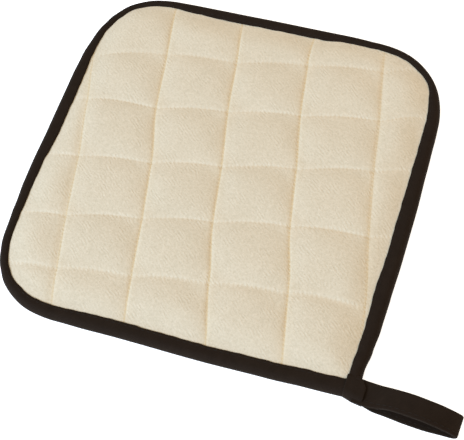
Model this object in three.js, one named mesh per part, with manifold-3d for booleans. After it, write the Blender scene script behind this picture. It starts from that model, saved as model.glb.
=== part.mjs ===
// A quilted pot holder with a hanging loop, lying flat on a surface.
// Millimetres, Z up. The origin is on the surface, under the middle of the whole outline, loop included.
// Every piece is first modelled about the middle of the pad: X runs along the near edge, Y away from it.

import * as THREE from "three";
import Module from "manifold-3d";
import { mergeVertices } from "three/addons/utils/BufferGeometryUtils.js";

const wasm = await Module();
wasm.setup();

// Where the middle of the pad lies from the origin
const PAD_CENTRE = { x: -23, y: 1 };

// The outline is a square with three round corners and one sharp one, where the loop is sewn on.
const OUTLINE = { side: 200, cornerRadius: 43 };

// The gap left between pieces that touch
const GAP = 0.3;

// Heights of the pad: its puffed cells, its seams, their crossings, and the edge inside the tape
const PAD = {
  cellTop: 8.3,
  seamTop: 6.9,
  crossingTop: 6.0,
  seamBack: 0.8,
  crossingBack: 1.2,
  backSag: 0.5,
  crown: 0.6,
  edgeTop: 4.9,
  edgeBack: 1.35,
  puffReach: 12,
  backReach: 6,
  edgeReach: 11,
  backEdgeReach: 1.2,
  unevenness: 0.3,
};

// The pad's side from the back up: how far in it stands from the outline, or from the tape's inner edge
const PAD_SIDE = [
  { inset: 1.4, pastTape: true, height: 0 },
  { inset: 0.45, pastTape: true, height: 1.05 },
  { inset: 0.45, pastTape: true, height: PAD.edgeBack },
  { inset: 3.8, pastTape: false, height: PAD.edgeBack },
  { inset: 2, pastTape: false, height: 2.2 },
  { inset: 1.4, pastTape: false, height: 3.3 },
  { inset: 1.85, pastTape: false, height: 4.3 },
  { inset: 3, pastTape: false, height: PAD.edgeTop },
  { inset: 0.45, pastTape: true, height: PAD.edgeTop },
  { inset: 0.6, pastTape: true, height: 10 },
];

// The quilting is a grid of two sets of seams, turned against the outline.
const QUILT = { acrossPitch: 38.9, downPitch: 33.4, middleDown: 3.6, turn: THREE.MathUtils.degToRad(10.8) };
const SEAM_COUNT = 5;
const ROW_ARCH = 1.4;

// How far each lengthwise seam wanders sideways from its even place, at these stations along it
const LENGTHWISE_STATIONS = [-95, -62, -29, 4, 37, 70, 100];
const LENGTHWISE_SEAMS = [
  { seam: "first from the left", wander: [2.3, 1.1, 0.3, 0.4, -1.2, -3.3, -1.7] },
  { seam: "second", wander: [0.7, 0.8, 1.2, 0.9, -1.7, -0.9, -0.8] },
  { seam: "middle", wander: [3.3, 1.0, -1.3, -0.9, -1.8, -0.9, -1.0] },
  { seam: "fourth", wander: [2.2, 1.6, -1.0, -1.1, -2.1, -1.3, 1.6] },
  { seam: "last", wander: [-0.3, 0.4, -0.6, -0.6, 0.3, 0.1, 0.4] },
];

// The same for the crosswise seams
const CROSSWISE_STATIONS = [-95, -78, -39, 0, 39, 78, 98];
const CROSSWISE_SEAMS = [
  { seam: "nearest the front", wander: [3.3, 2.9, 1.3, 0.4, -1.5, -5.8, -6.3] },
  { seam: "second", wander: [-0.8, -0.5, 0.1, 1.0, 1.5, -1.2, 0.2] },
  { seam: "middle", wander: [1.2, 1.4, -0.3, -0.1, 1.2, 2.9, 4.4] },
  { seam: "fourth", wander: [2.3, 4.2, 0.2, 0.1, 0.1, 0.1, 2.8] },
  { seam: "farthest", wander: [-0.9, -0.1, 1.5, -1.7, -1.1, -2.5, 0.5] },
];

// The folded tape round the edge: a rolled edge with a flange over the pad and one under it
const TAPE = { top: 6.6, bottom: 0, wall: 1.0, lip: 0.35 };

// Along the outline, clockwise from the loop corner: how far the edge stands out from its even place,
// and how wide the tape shows on top
const EDGE_ROWS = [
  { at: 0, out: -1.3, width: 8.5 },
  { at: 26, out: -0.9, width: 8.1 },
  { at: 46, out: -0.2, width: 7.4 },
  { at: 90, out: 0.4, width: 6.7 },
  { at: 125, out: -0.2, width: 7.2 },
  { at: 150, out: 0.0, width: 6.5 },
  { at: 177, out: 0.8, width: 5.4 },
  { at: 190, out: 0.7, width: 4.6 },
  { at: 200, out: 0.0, width: 4.5 },
  { at: 212, out: -0.9, width: 5.6 },
  { at: 234, out: -0.2, width: 6.0 },
  { at: 250, out: 0.5, width: 5.5 },
  { at: 284, out: 0.3, width: 7.1 },
  { at: 333, out: -0.3, width: 6.9 },
  { at: 345, out: -1.3, width: 7.0 },
  { at: 366, out: 0.0, width: 5.2 },
  { at: 377, out: 0.7, width: 4.1 },
  { at: 387, out: 0.6, width: 4.4 },
  { at: 418, out: 0.0, width: 6.2 },
  { at: 463, out: 0.1, width: 6.7 },
  { at: 490, out: 0.2, width: 6.6 },
  { at: 503, out: 0.1, width: 5.3 },
  { at: 524, out: -0.5, width: 5.5 },
  { at: 550, out: -0.1, width: 4.7 },
  { at: 576, out: -0.9, width: 7.1 },
  { at: 616, out: 0.0, width: 7.0 },
  { at: 640, out: 0.7, width: 7.1 },
  { at: 668, out: 0.6, width: 7.0 },
  { at: 690, out: 0.1, width: 7.9 },
  { at: 707, out: -0.4, width: 7.4 },
  { at: 719, out: -1.4, width: 6.9 },
  { at: 729, out: -2.6, width: 6.3 },
  { at: 744, out: -2.6, width: 6.4 },
];

// The end of the tape, laid over its start at the sharp corner and turned under the near edge.
// It widens towards the loop, and its far right corner is slanted off.
const LAP = {
  left: 91.1,
  right: 101,
  nearAtLeft: -100,
  nearAtRight: -101.6,
  far: -88.6,
  top: 7.3,
  slantX: 97.6,
  slantY: -93.5,
};

// The hole in the corner that the loop's two ends fill
const ROOT = {
  left: 95.2,
  right: 103,
  nearAtLeft: -100.2,
  nearAtRight: -101.2,
  far: -88.9,
  bottom: 1.1,
  top: 6.15,
};

// The loop is the same tape folded narrow. Its middle line leaves the corner, rises over an open eye,
// folds back at its tip and returns along the surface.
const LOOP = { width: 10.6, thickness: 1.8, bevel: 0.45, steps: 60 };
const LOOP_LINE = [
  { x: 96, y: -94.55, z: 4.8 },
  { x: 101, y: -95.1, z: 4.85 },
  { x: 107, y: -95.5, z: 6.2 },
  { x: 114, y: -95.9, z: 8.1 },
  { x: 123, y: -96.7, z: 8.8 },
  { x: 132, y: -97.4, z: 8.2 },
  { x: 139.5, y: -98, z: 6.4 },
  { x: 144.6, y: -98.4, z: 4.2 },
  { x: 146.2, y: -98.5, z: 2.6 },
  { x: 144.9, y: -98.6, z: 1.15 },
  { x: 142, y: -98.7, z: 0.9 },
  { x: 130, y: -98.7, z: 0.9 },
  { x: 112, y: -97.5, z: 0.9 },
  { x: 106, y: -96.5, z: 1.4 },
  { x: 101.5, y: -95.3, z: 2.4 },
  { x: 96, y: -94.55, z: 2.45 },
];

// Walk along the outline

const QUARTER = Math.PI / 2;
const FIRST_STRETCH = OUTLINE.side - OUTLINE.cornerRadius;
const SIDE_STRETCH = OUTLINE.side - 2 * OUTLINE.cornerRadius;
const BEND_STRETCH = QUARTER * OUTLINE.cornerRadius;
const STRETCHES = [
  { length: FIRST_STRETCH, round: false },
  { length: BEND_STRETCH, round: true },
  { length: SIDE_STRETCH, round: false },
  { length: BEND_STRETCH, round: true },
  { length: SIDE_STRETCH, round: false },
  { length: BEND_STRETCH, round: true },
  { length: FIRST_STRETCH, round: false },
];
const OUTLINE_LENGTH = STRETCHES.reduce((sum, stretch) => sum + stretch.length, 0);

// The even outline's point and inward direction at a distance from the loop corner
function evenEdge(at) {
  const point = new THREE.Vector2(OUTLINE.side / 2, -OUTLINE.side / 2);
  let heading = Math.PI;
  let left = at;
  for (const { length, round } of STRETCHES) {
    const step = Math.min(left, length);
    const forward = new THREE.Vector2(Math.cos(heading), Math.sin(heading));
    const inward = new THREE.Vector2(forward.y, -forward.x);
    if (round) {
      const swing = step / OUTLINE.cornerRadius;
      point.addScaledVector(forward, OUTLINE.cornerRadius * Math.sin(swing));
      point.addScaledVector(inward, OUTLINE.cornerRadius * (1 - Math.cos(swing)));
      heading -= swing;
    } else {
      point.addScaledVector(forward, step);
    }
    left -= step;
    if (left <= 0) {
      break;
    }
  }
  return { point, inward: new THREE.Vector2(Math.sin(heading), -Math.cos(heading)) };
}

// A value read from a table between its rows, with a soft turn at each row
function softBetween(stations, values, place) {
  const last = stations.length - 1;
  const next = stations.findIndex((station) => station > place);
  if (next === 0) {
    return values[0];
  }
  if (next < 0) {
    return values[last];
  }
  const share = THREE.MathUtils.smoothstep(place, stations[next - 1], stations[next]);
  return THREE.MathUtils.lerp(values[next - 1], values[next], share);
}

const EDGE_STATIONS = EDGE_ROWS.map((row) => row.at);
const EDGE_OUT = EDGE_ROWS.map((row) => row.out);
const EDGE_WIDTH = EDGE_ROWS.map((row) => row.width);

// The real, uneven edge: its point, inward direction and the width of the tape there
function edge(at) {
  const { point, inward } = evenEdge(at);
  point.addScaledVector(inward, -softBetween(EDGE_STATIONS, EDGE_OUT, at));
  return { point, inward, width: softBetween(EDGE_STATIONS, EDGE_WIDTH, at) };
}

// Distances along the outline at which pieces that follow it have a section
function edgeSteps(from, to) {
  const straightStep = 11;
  const bendParts = 8;
  const steps = [from];
  let start = 0;
  for (const { length, round } of STRETCHES) {
    const parts = round ? bendParts : Math.round(length / straightStep);
    for (let part = 0; part < parts; part += 1) {
      const at = start + (length * part) / parts;
      if (at > from + 2 && at < to - 2) {
        steps.push(at);
      }
    }
    start += length;
  }
  steps.push(to);
  return steps;
}

// Closed meshes

// A geometry from points and triangles, turned so that its faces point out
function closedGeometry(points, triangles) {
  const volume = triangles.reduce((sum, [a, b, c]) => {
    const normal = points[b].clone().cross(points[c]);
    return sum + points[a].dot(normal);
  }, 0);
  const facing = volume > 0 ? triangles : triangles.map(([a, b, c]) => [a, c, b]);
  const geometry = new THREE.BufferGeometry();
  const positions = points.flatMap((point) => [point.x, point.y, point.z]);
  geometry.setAttribute("position", new THREE.Float32BufferAttribute(positions, 3));
  geometry.setIndex(facing.flat());
  return geometry;
}

// Triangles that fill a flat outline and turn the same way as its points
function fillShape(shape) {
  const turn = Math.sign(THREE.ShapeUtils.area(shape));
  return THREE.ShapeUtils.triangulateShape(shape, []).map(([a, b, c]) => {
    const sameWay = Math.sign(THREE.ShapeUtils.area([shape[a], shape[b], shape[c]])) === turn;
    return sameWay ? [a, b, c] : [a, c, b];
  });
}

// A skin over a row of loops with the same number of points, closed by flat ends
function skin(loops, endShapes) {
  const count = loops[0].length;
  const triangles = [];
  for (let loop = 0; loop + 1 < loops.length; loop += 1) {
    for (let k = 0; k < count; k += 1) {
      const a = loop * count + k;
      const b = loop * count + ((k + 1) % count);
      triangles.push([a, b, a + count], [b, b + count, a + count]);
    }
  }
  const lastLoop = (loops.length - 1) * count;
  for (const [a, b, c] of fillShape(endShapes[0])) {
    triangles.push([a, c, b]);
  }
  for (const [a, b, c] of fillShape(endShapes[1])) {
    triangles.push([lastLoop + a, lastLoop + b, lastLoop + c]);
  }
  return closedGeometry(loops.flat(), triangles);
}

// A solid for cutting and joining, from a closed geometry
function toSolid(geometry) {
  const bare = geometry.clone();
  bare.deleteAttribute("normal");
  bare.deleteAttribute("uv");
  const merged = mergeVertices(bare, 1e-4);
  const vertProperties = new Float32Array(merged.attributes.position.array);
  const triVerts = new Uint32Array(merged.index.array);
  return new wasm.Manifold(new wasm.Mesh({ numProp: 3, vertProperties, triVerts }));
}

// The geometry of a cut or joined solid
function toGeometry(solid) {
  const { vertProperties, triVerts, numProp } = solid.getMesh();
  const geometry = new THREE.BufferGeometry();
  const positions = [];
  for (let start = 0; start < vertProperties.length; start += numProp) {
    positions.push(...vertProperties.subarray(start, start + 3));
  }
  geometry.setAttribute("position", new THREE.Float32BufferAttribute(positions, 3));
  geometry.setIndex(Array.from(triVerts));
  return geometry;
}

// An upright prism over a flat outline
function prism(corners, bottom, top) {
  const shape = new THREE.Shape(corners);
  const geometry = new THREE.ExtrudeGeometry(shape, { depth: top - bottom, bevelEnabled: false });
  geometry.translate(0, 0, bottom);
  return toSolid(geometry);
}

// The quilting grid

// Place of a lengthwise seam across the quilt, at a distance along it
function lengthwiseSeam(index, along) {
  const even = (index - (SEAM_COUNT - 1) / 2) * QUILT.acrossPitch;
  return even + softBetween(LENGTHWISE_STATIONS, LENGTHWISE_SEAMS[index].wander, along);
}

// Place of a crosswise seam, which arches a little between its crossings
function crosswiseSeam(index, across) {
  const even = QUILT.middleDown + (index - (SEAM_COUNT - 1) / 2) * QUILT.downPitch;
  const arch = ROW_ARCH * Math.abs(Math.sin((Math.PI * across) / QUILT.acrossPitch));
  return even + arch + softBetween(CROSSWISE_STATIONS, CROSSWISE_SEAMS[index].wander, across);
}

// A level well clear of the whole part, for blocks that only cut
const FAR_LEVEL = 20;

// How far the grid runs on past its outer seams, and where each cell has lines, as shares of its width
const BEYOND = { across: 36, front: 54, back: 40 };
const TOP_SHARES = [0, 0.07, 0.24, 0.5, 0.76, 0.93];
const BACK_SHARES = [0, 0.06, 0.15, 0.5, 0.85, 0.94];

// Place of a grid line that is a share of the way between a seam and the next, or past the outer seams
function lineBetween(number, share, lineAt, before, after) {
  if (number < 0) {
    return lineAt(0) - before * (1 - share);
  }
  if (number >= SEAM_COUNT - 1) {
    return lineAt(SEAM_COUNT - 1) + after * share;
  }
  return THREE.MathUtils.lerp(lineAt(number), lineAt(number + 1), share);
}

// Point of the grid, in the quilt's own frame, for a place counted in seams
function gridPoint(acrossPlace, alongPlace) {
  const place = new THREE.Vector2(0, 0);
  const settleRounds = 6;
  for (let round = 0; round < settleRounds; round += 1) {
    const column = (seam) => lengthwiseSeam(seam, place.y);
    const row = (seam) => crosswiseSeam(seam, place.x);
    place.set(
      lineBetween(acrossPlace.number, acrossPlace.share, column, BEYOND.across, BEYOND.across),
      lineBetween(alongPlace.number, alongPlace.share, row, BEYOND.front, BEYOND.back),
    );
  }
  return place;
}

// Every line of the grid, from outside the first seam to outside the last
function gridLines(shares) {
  const lines = [];
  for (let number = -1; number < SEAM_COUNT; number += 1) {
    for (const share of shares) {
      lines.push({ number, share });
    }
  }
  lines.push({ number: SEAM_COUNT - 1, share: 1 });
  return lines;
}

// From 0 at a seam or edge to 1 at its reach, steep at first as filled cloth is
function swell(distance, reach) {
  const roundness = 2.3;
  return 1 - (1 - THREE.MathUtils.clamp(distance / reach, 0, 1)) ** roundness;
}

// Distance from a place to the nearest seam of one set
function nearestSeam(place, lineAt) {
  let nearest = Infinity;
  for (let seam = 0; seam < SEAM_COUNT; seam += 1) {
    nearest = Math.min(nearest, Math.abs(place - lineAt(seam)));
  }
  return nearest;
}

// The quilt's frame turned to the pad's frame
function quiltToPad(place) {
  return place.clone().rotateAround(new THREE.Vector2(0, 0), QUILT.turn);
}

// The even distance from a place on the pad to the inner edge of the tape
const EDGE_LOOPS = edgeSteps(0, OUTLINE_LENGTH).map((at) => edge(at));

function distanceToTape(point) {
  let nearest = Infinity;
  for (const { point: rim, inward, width } of EDGE_LOOPS) {
    const offset = point.clone().sub(rim);
    const aside = Math.abs(offset.cross(inward));
    const depth = offset.dot(inward) - width;
    nearest = Math.min(nearest, Math.hypot(Math.max(aside - 6, 0), Math.max(depth, 0)));
  }
  return nearest;
}

// Height of the quilted top, with its crown, or of the back, at a place in the quilt's frame
function quiltHeight(place, levels, reach) {
  const across = nearestSeam(place.x, (seam) => lengthwiseSeam(seam, place.y));
  const along = nearestSeam(place.y, (seam) => crosswiseSeam(seam, place.x));
  const awayFromCrossing = Math.max(swell(across, reach), swell(along, reach));
  const seamLevel = THREE.MathUtils.lerp(levels.crossing, levels.seam, awayFromCrossing);
  const fullness = swell(across, reach) * swell(along, reach);
  const point = quiltToPad(place);
  const half = OUTLINE.side / 2;
  const crown = levels.crown * (1 - (point.x / half) ** 2) * (1 - (point.y / half) ** 2);
  const waves = Math.sin(0.11 * place.x + 1.3) * Math.sin(0.13 * place.y + 0.4);
  const level = THREE.MathUtils.lerp(seamLevel, levels.cell + levels.unevenness * waves, fullness);
  return THREE.MathUtils.lerp(levels.edge, level + crown, swell(distanceToTape(point), levels.edgeReach));
}

// A closed block whose one side is the quilted surface and whose other side is a far level
function quiltBlock(levels, reach, shares, farLevel) {
  const lines = gridLines(shares);
  const count = lines.length;
  const surface = [];
  const far = [];
  for (const alongPlace of lines) {
    for (const acrossPlace of lines) {
      const place = gridPoint(acrossPlace, alongPlace);
      const point = quiltToPad(place);
      surface.push(new THREE.Vector3(point.x, point.y, quiltHeight(place, levels, reach)));
      far.push(new THREE.Vector3(point.x, point.y, farLevel));
    }
  }
  const farStart = count * count;
  const triangles = [];
  for (let row = 0; row + 1 < count; row += 1) {
    for (let column = 0; column + 1 < count; column += 1) {
      const a = row * count + column;
      const b = a + 1;
      const c = a + count;
      const d = c + 1;
      triangles.push([a, b, c], [b, d, c]);
      triangles.push([farStart + a, farStart + c, farStart + b]);
      triangles.push([farStart + b, farStart + c, farStart + d]);
    }
  }
  const rim = [];
  const lastLine = count - 1;
  for (let k = 0; k < lastLine; k += 1) {
    rim.push([k, k + 1]);
    rim.push([lastLine * count + k + 1, lastLine * count + k]);
    rim.push([(k + 1) * count, k * count]);
    rim.push([k * count + lastLine, (k + 1) * count + lastLine]);
  }
  for (const [a, b] of rim) {
    triangles.push([b, a, farStart + a], [farStart + a, farStart + b, b]);
  }
  return toSolid(closedGeometry([...surface, ...far], triangles));
}

// Pieces

// The pad: quilted cloth over filling, squeezed thin where the tape grips its edge
function quiltedPad() {
  const half = OUTLINE.side / 2;
  const steps = edgeSteps(0, OUTLINE_LENGTH).slice(1, -1);
  const corner = edge(0);
  const cornerOut = -corner.point.y - half;
  const loops = PAD_SIDE.map(({ inset, pastTape, height }) => {
    const cornerInset = inset + (pastTape ? corner.width : 0) - cornerOut;
    const ring = [new THREE.Vector3(half - cornerInset, cornerInset - half, height)];
    for (const at of steps) {
      const { point, inward, width } = edge(at);
      point.addScaledVector(inward, inset + (pastTape ? width : 0));
      ring.push(new THREE.Vector3(point.x, point.y, height));
    }
    return ring;
  });
  const flat = (ring) => ring.map((point) => new THREE.Vector2(point.x, point.y));
  const cover = toSolid(skin(loops, [flat(loops[0]), flat(loops[loops.length - 1])]));
  const top = {
    cell: PAD.cellTop,
    seam: PAD.seamTop,
    crossing: PAD.crossingTop,
    edge: PAD.edgeTop,
    edgeReach: PAD.edgeReach,
    crown: PAD.crown,
    unevenness: PAD.unevenness,
  };
  const back = {
    cell: -PAD.backSag,
    seam: PAD.seamBack,
    crossing: PAD.crossingBack,
    edge: PAD.edgeBack,
    edgeReach: PAD.backEdgeReach,
    crown: 0,
    unevenness: 0,
  };
  const underTop = quiltBlock(top, PAD.puffReach, TOP_SHARES, -FAR_LEVEL);
  const overBack = quiltBlock(back, PAD.backReach, BACK_SHARES, FAR_LEVEL);
  const holeCorners = [
    new THREE.Vector2(ROOT.left - GAP, -OUTLINE.side),
    new THREE.Vector2(OUTLINE.side, -OUTLINE.side),
    new THREE.Vector2(OUTLINE.side, ROOT.far + GAP),
    new THREE.Vector2(ROOT.left - GAP, ROOT.far + GAP),
  ];
  const rootHole = prism(holeCorners, -FAR_LEVEL, FAR_LEVEL);
  return toGeometry(cover.intersect(underTop).intersect(overBack).subtract(rootHole));
}

// Section of the folded tape as insets and heights: rolled edge, top flange and bottom flange
function tapeSection(width, top, bottom) {
  const roll = (top - bottom) / 2;
  const middle = (top + bottom) / 2;
  const crest = 0.6;
  const turns = [0.75, 1, 1.25].map((part) => part * Math.PI);
  const along = (radius, turn) => {
    return new THREE.Vector2(roll + radius * Math.cos(turn), middle + radius * Math.sin(turn));
  };
  const inner = roll - TAPE.wall;
  return [
    new THREE.Vector2(width, top - TAPE.lip),
    new THREE.Vector2(THREE.MathUtils.lerp(roll, width, crest), top),
    new THREE.Vector2(roll, top),
    ...turns.map((turn) => along(roll, turn)),
    new THREE.Vector2(roll, bottom),
    new THREE.Vector2(width, bottom),
    new THREE.Vector2(width, bottom + TAPE.wall),
    new THREE.Vector2(roll, bottom + TAPE.wall),
    ...turns.reverse().map((turn) => along(inner, turn)),
    new THREE.Vector2(roll, top - TAPE.wall),
    new THREE.Vector2(THREE.MathUtils.lerp(roll, width, crest), top - TAPE.wall),
    new THREE.Vector2(width, top - TAPE.lip - TAPE.wall),
  ];
}

// The section stood up at a place on the edge
function placeSection(section, point, inward) {
  return section.map(({ x: inset, y: height }) => {
    return new THREE.Vector3(point.x + inward.x * inset, point.y + inward.y * inset, height);
  });
}

// The tape from its start under the lap, clockwise round the pad, to its end over the lap
function tapeRound() {
  const underLap = 1.2;
  const climb = 14;
  const start = OUTLINE.side / 2 - ROOT.left + GAP;
  const end = OUTLINE_LENGTH - (OUTLINE.side / 2 + LAP.far) + underLap;
  const steps = edgeSteps(start, end);
  const sections = steps.map((at) => {
    const { width } = edge(at);
    const rise = THREE.MathUtils.smoothstep(at, end - climb, end - underLap);
    return tapeSection(width, THREE.MathUtils.lerp(TAPE.top, LAP.top, rise), TAPE.bottom);
  });
  const loops = steps.map((at, k) => {
    const { point, inward } = edge(at);
    return placeSection(sections[k], point, inward);
  });
  return toSolid(skin(loops, [sections[0], sections[sections.length - 1]]));
}

// The lap: the tape's end folded over the near edge at the sharp corner
function tapeLap() {
  const inward = new THREE.Vector2(0, 1);
  const ends = [new THREE.Vector2(LAP.left, LAP.nearAtLeft), new THREE.Vector2(LAP.right, LAP.nearAtRight)];
  const sections = ends.map((end) => tapeSection(LAP.far - end.y, LAP.top, TAPE.bottom));
  const loops = ends.map((end, k) => placeSection(sections[k], end, inward));
  const fold = toSolid(skin(loops, sections));
  const beyond = 1;
  const slantCorners = [
    new THREE.Vector2(LAP.right, LAP.slantY),
    new THREE.Vector2(LAP.right + beyond, LAP.slantY),
    new THREE.Vector2(LAP.right + beyond, LAP.far + beyond),
    new THREE.Vector2(LAP.slantX, LAP.far + beyond),
    new THREE.Vector2(LAP.slantX, LAP.far - beyond),
  ];
  return fold.subtract(prism(slantCorners, -FAR_LEVEL, FAR_LEVEL));
}

// The binding: one strip sewn round the pad and through its own lap, with room for the loop's ends
function edgeBinding() {
  const roomCorners = [
    new THREE.Vector2(ROOT.left, ROOT.nearAtLeft),
    new THREE.Vector2(ROOT.right, ROOT.nearAtRight),
    new THREE.Vector2(ROOT.right, ROOT.far),
    new THREE.Vector2(ROOT.left, ROOT.far),
  ];
  const room = prism(roomCorners, ROOT.bottom, ROOT.top);
  return toGeometry(tapeRound().add(tapeLap()).subtract(room));
}

// The loop: a narrow folded strap along its middle line, its width level, its lower run flat on the surface
function hangingLoop() {
  const line = new THREE.CatmullRomCurve3(LOOP_LINE.map(({ x, y, z }) => new THREE.Vector3(x, y, z)));
  line.curveType = "centripetal";
  const half = LOOP.width / 2;
  const thick = LOOP.thickness / 2;
  const section = [
    new THREE.Vector2(half, 0),
    new THREE.Vector2(half - LOOP.bevel, thick),
    new THREE.Vector2(LOOP.bevel - half, thick),
    new THREE.Vector2(-half, 0),
    new THREE.Vector2(LOOP.bevel - half, -thick),
    new THREE.Vector2(half - LOOP.bevel, -thick),
  ];
  const heading = new THREE.Vector3(1, -0.07, 0).normalize();
  const level = new THREE.Vector3(-heading.y, heading.x, 0);
  const loops = [];
  for (let step = 0; step <= LOOP.steps; step += 1) {
    const share = step / LOOP.steps;
    const centre = line.getPointAt(share);
    const forward = line.getTangentAt(share);
    const up = forward.clone().cross(level).normalize();
    const ring = section.map(({ x: aside, y: above }) => {
      const point = centre.clone().addScaledVector(level, aside).addScaledVector(up, above);
      point.z = Math.max(point.z, 0);
      return point;
    });
    loops.push(ring);
  }
  return skin(loops, [section, section]);
}

const quiltedCotton = new THREE.MeshStandardMaterial({ color: 0xdbd0b9, roughness: 0.95, metalness: 0 });
const darkTape = new THREE.MeshStandardMaterial({ color: 0x2b2420, roughness: 0.85, metalness: 0 });

// A piece in the scene, with its own material
function piece(name, geometry, material) {
  const mesh = new THREE.Mesh(geometry, material.clone());
  mesh.name = name;
  return mesh;
}

const potHolder = new THREE.Group();
potHolder.add(piece("quilted_pad", quiltedPad(), quiltedCotton));
potHolder.add(piece("edge_binding", edgeBinding(), darkTape));
potHolder.add(piece("hanging_loop", hangingLoop(), darkTape));
potHolder.position.set(PAD_CENTRE.x, PAD_CENTRE.y, 0);

export default potHolder;
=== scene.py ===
"""A quilted pot holder with a hanging loop, dressed round its solid model.

Sizes are in millimetres about the middle of the pad, as in the solid model, until a mesh is
made: there they become metres in the model's frame. X runs along the near edge, Y away from
it and Z up, and the pad lies on Z = 0.
"""

import logging
import math
from collections.abc import Callable, Sequence
from dataclasses import dataclass, field
from enum import Enum
from functools import partial
from typing import Any, NamedTuple

import bpy
import numpy as np
from mathutils import Matrix, Vector
from mathutils.bvhtree import BVHTree


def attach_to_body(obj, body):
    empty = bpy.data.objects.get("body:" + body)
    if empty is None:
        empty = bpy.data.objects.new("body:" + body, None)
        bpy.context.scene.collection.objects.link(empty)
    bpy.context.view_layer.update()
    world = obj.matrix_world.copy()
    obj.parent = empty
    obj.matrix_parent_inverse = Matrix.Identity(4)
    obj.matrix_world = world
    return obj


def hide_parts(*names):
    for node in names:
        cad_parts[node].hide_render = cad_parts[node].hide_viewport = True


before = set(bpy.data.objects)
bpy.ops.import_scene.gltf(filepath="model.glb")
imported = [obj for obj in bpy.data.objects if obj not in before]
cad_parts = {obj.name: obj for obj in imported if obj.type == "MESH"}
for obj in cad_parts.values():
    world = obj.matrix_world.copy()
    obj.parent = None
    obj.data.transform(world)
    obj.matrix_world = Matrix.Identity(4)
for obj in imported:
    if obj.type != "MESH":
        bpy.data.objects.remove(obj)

LOG = logging.getLogger("pot_holder")
METRES = 0.001
BODY = "root"
PAD_CENTRE = np.array([-23.0, 1.0, 0.0])
QUILT_TURN = math.radians(10.8)
NOISE_AVERAGE = 0.5
NOISE_ROUGHNESS = 0.55


class Node(str, Enum):
    """The solid model's nodes."""

    PAD = "quilted_pad"
    BINDING = "edge_binding"
    LOOP = "hanging_loop"


class Slot(str, Enum):
    """The record's material slots."""

    COTTON = "quilted_cotton"
    TAPE = "binding_tape"


class Face(Enum):
    """The two faces of the pad."""

    TOP = 1
    BACK = -1


# Tables and curves


def soft_between(stations: Sequence[float], values: Sequence[float], places: np.ndarray) -> np.ndarray:
    """Reads a table between its rows, with a soft turn at each row.

    Args:
        stations: Where the rows are, rising.
        values: The value at each row.
        places: Where to read it.

    Returns:
        The value at each place.
    """
    station, value = np.asarray(stations, float), np.asarray(values, float)
    after = np.clip(np.searchsorted(station, places, side="right"), 1, len(station) - 1)
    share = np.clip((places - station[after - 1]) / (station[after] - station[after - 1]), 0, 1)
    return value[after - 1] + (value[after] - value[after - 1]) * share * share * (3 - 2 * share)


def rise(place: np.ndarray | float, low: float, high: float) -> np.ndarray | float:
    """Goes softly from 0 at low to 1 at high."""
    share = np.clip((place - low) / (high - low), 0, 1)
    return share * share * (3 - 2 * share)


def swell(distance: np.ndarray, reach: float, roundness: float = 2.3) -> np.ndarray:
    """Goes from 0 at a seam to 1 at its reach, steep at first as filled cloth is."""
    return 1 - (1 - np.clip(distance / reach, 0, 1)) ** roundness


@dataclass(frozen=True)
class Waver:
    """An uneven wave, added up from sines of several lengths in millimetres."""

    lengths: tuple[float, ...]
    start: float

    def at(self, place: np.ndarray | float) -> np.ndarray | float:
        """The wave at a place, from -1 to 1."""
        waves = [np.sin(2 * math.pi * place / length + self.start * number)
                 for number, length in enumerate(self.lengths, start=1)]
        return sum(waves) / len(waves)


def distance_along(line: np.ndarray) -> np.ndarray:
    """How far along a line each of its points is."""
    return np.concatenate([[0], np.cumsum(np.linalg.norm(np.diff(line, axis=0), axis=1))])


def between(place: np.ndarray, low: float, high: float, first: np.ndarray,
            second: np.ndarray) -> np.ndarray:
    """The point at a place on the way from first, at low, to second, at high."""
    return (high - place) / (high - low) * first + (place - low) / (high - low) * second


def centripetal_curve(points: np.ndarray, count: int) -> np.ndarray:
    """Draws a smooth curve through points and samples it evenly along its length.

    Args:
        points: The points that it goes through, one to a row.
        count: How many samples to take.

    Returns:
        The samples, one to a row.
    """
    samples_a_span = 60
    ends = np.vstack([2 * points[0] - points[1], points, 2 * points[-1] - points[-2]])
    fine = []
    for four in zip(ends, ends[1:], ends[2:], ends[3:]):
        gaps = [np.linalg.norm(onward - here) ** 0.5 for here, onward in zip(four, four[1:])]
        knots = np.concatenate([[0], np.cumsum(gaps)])
        place = np.linspace(knots[1], knots[2], samples_a_span, endpoint=False)[:, None]
        spans = [between(place, knots[k], knots[k + 1], four[k], four[k + 1]) for k in range(3)]
        before = between(place, knots[0], knots[2], spans[0], spans[1])
        after = between(place, knots[1], knots[3], spans[1], spans[2])
        fine.append(between(place, knots[1], knots[2], before, after))
    line = np.vstack([*fine, points[-1:]])
    along = distance_along(line)
    even = np.linspace(0, along[-1], count)
    return np.column_stack([np.interp(even, along, line[:, axis]) for axis in range(3)])


# Shading


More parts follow.
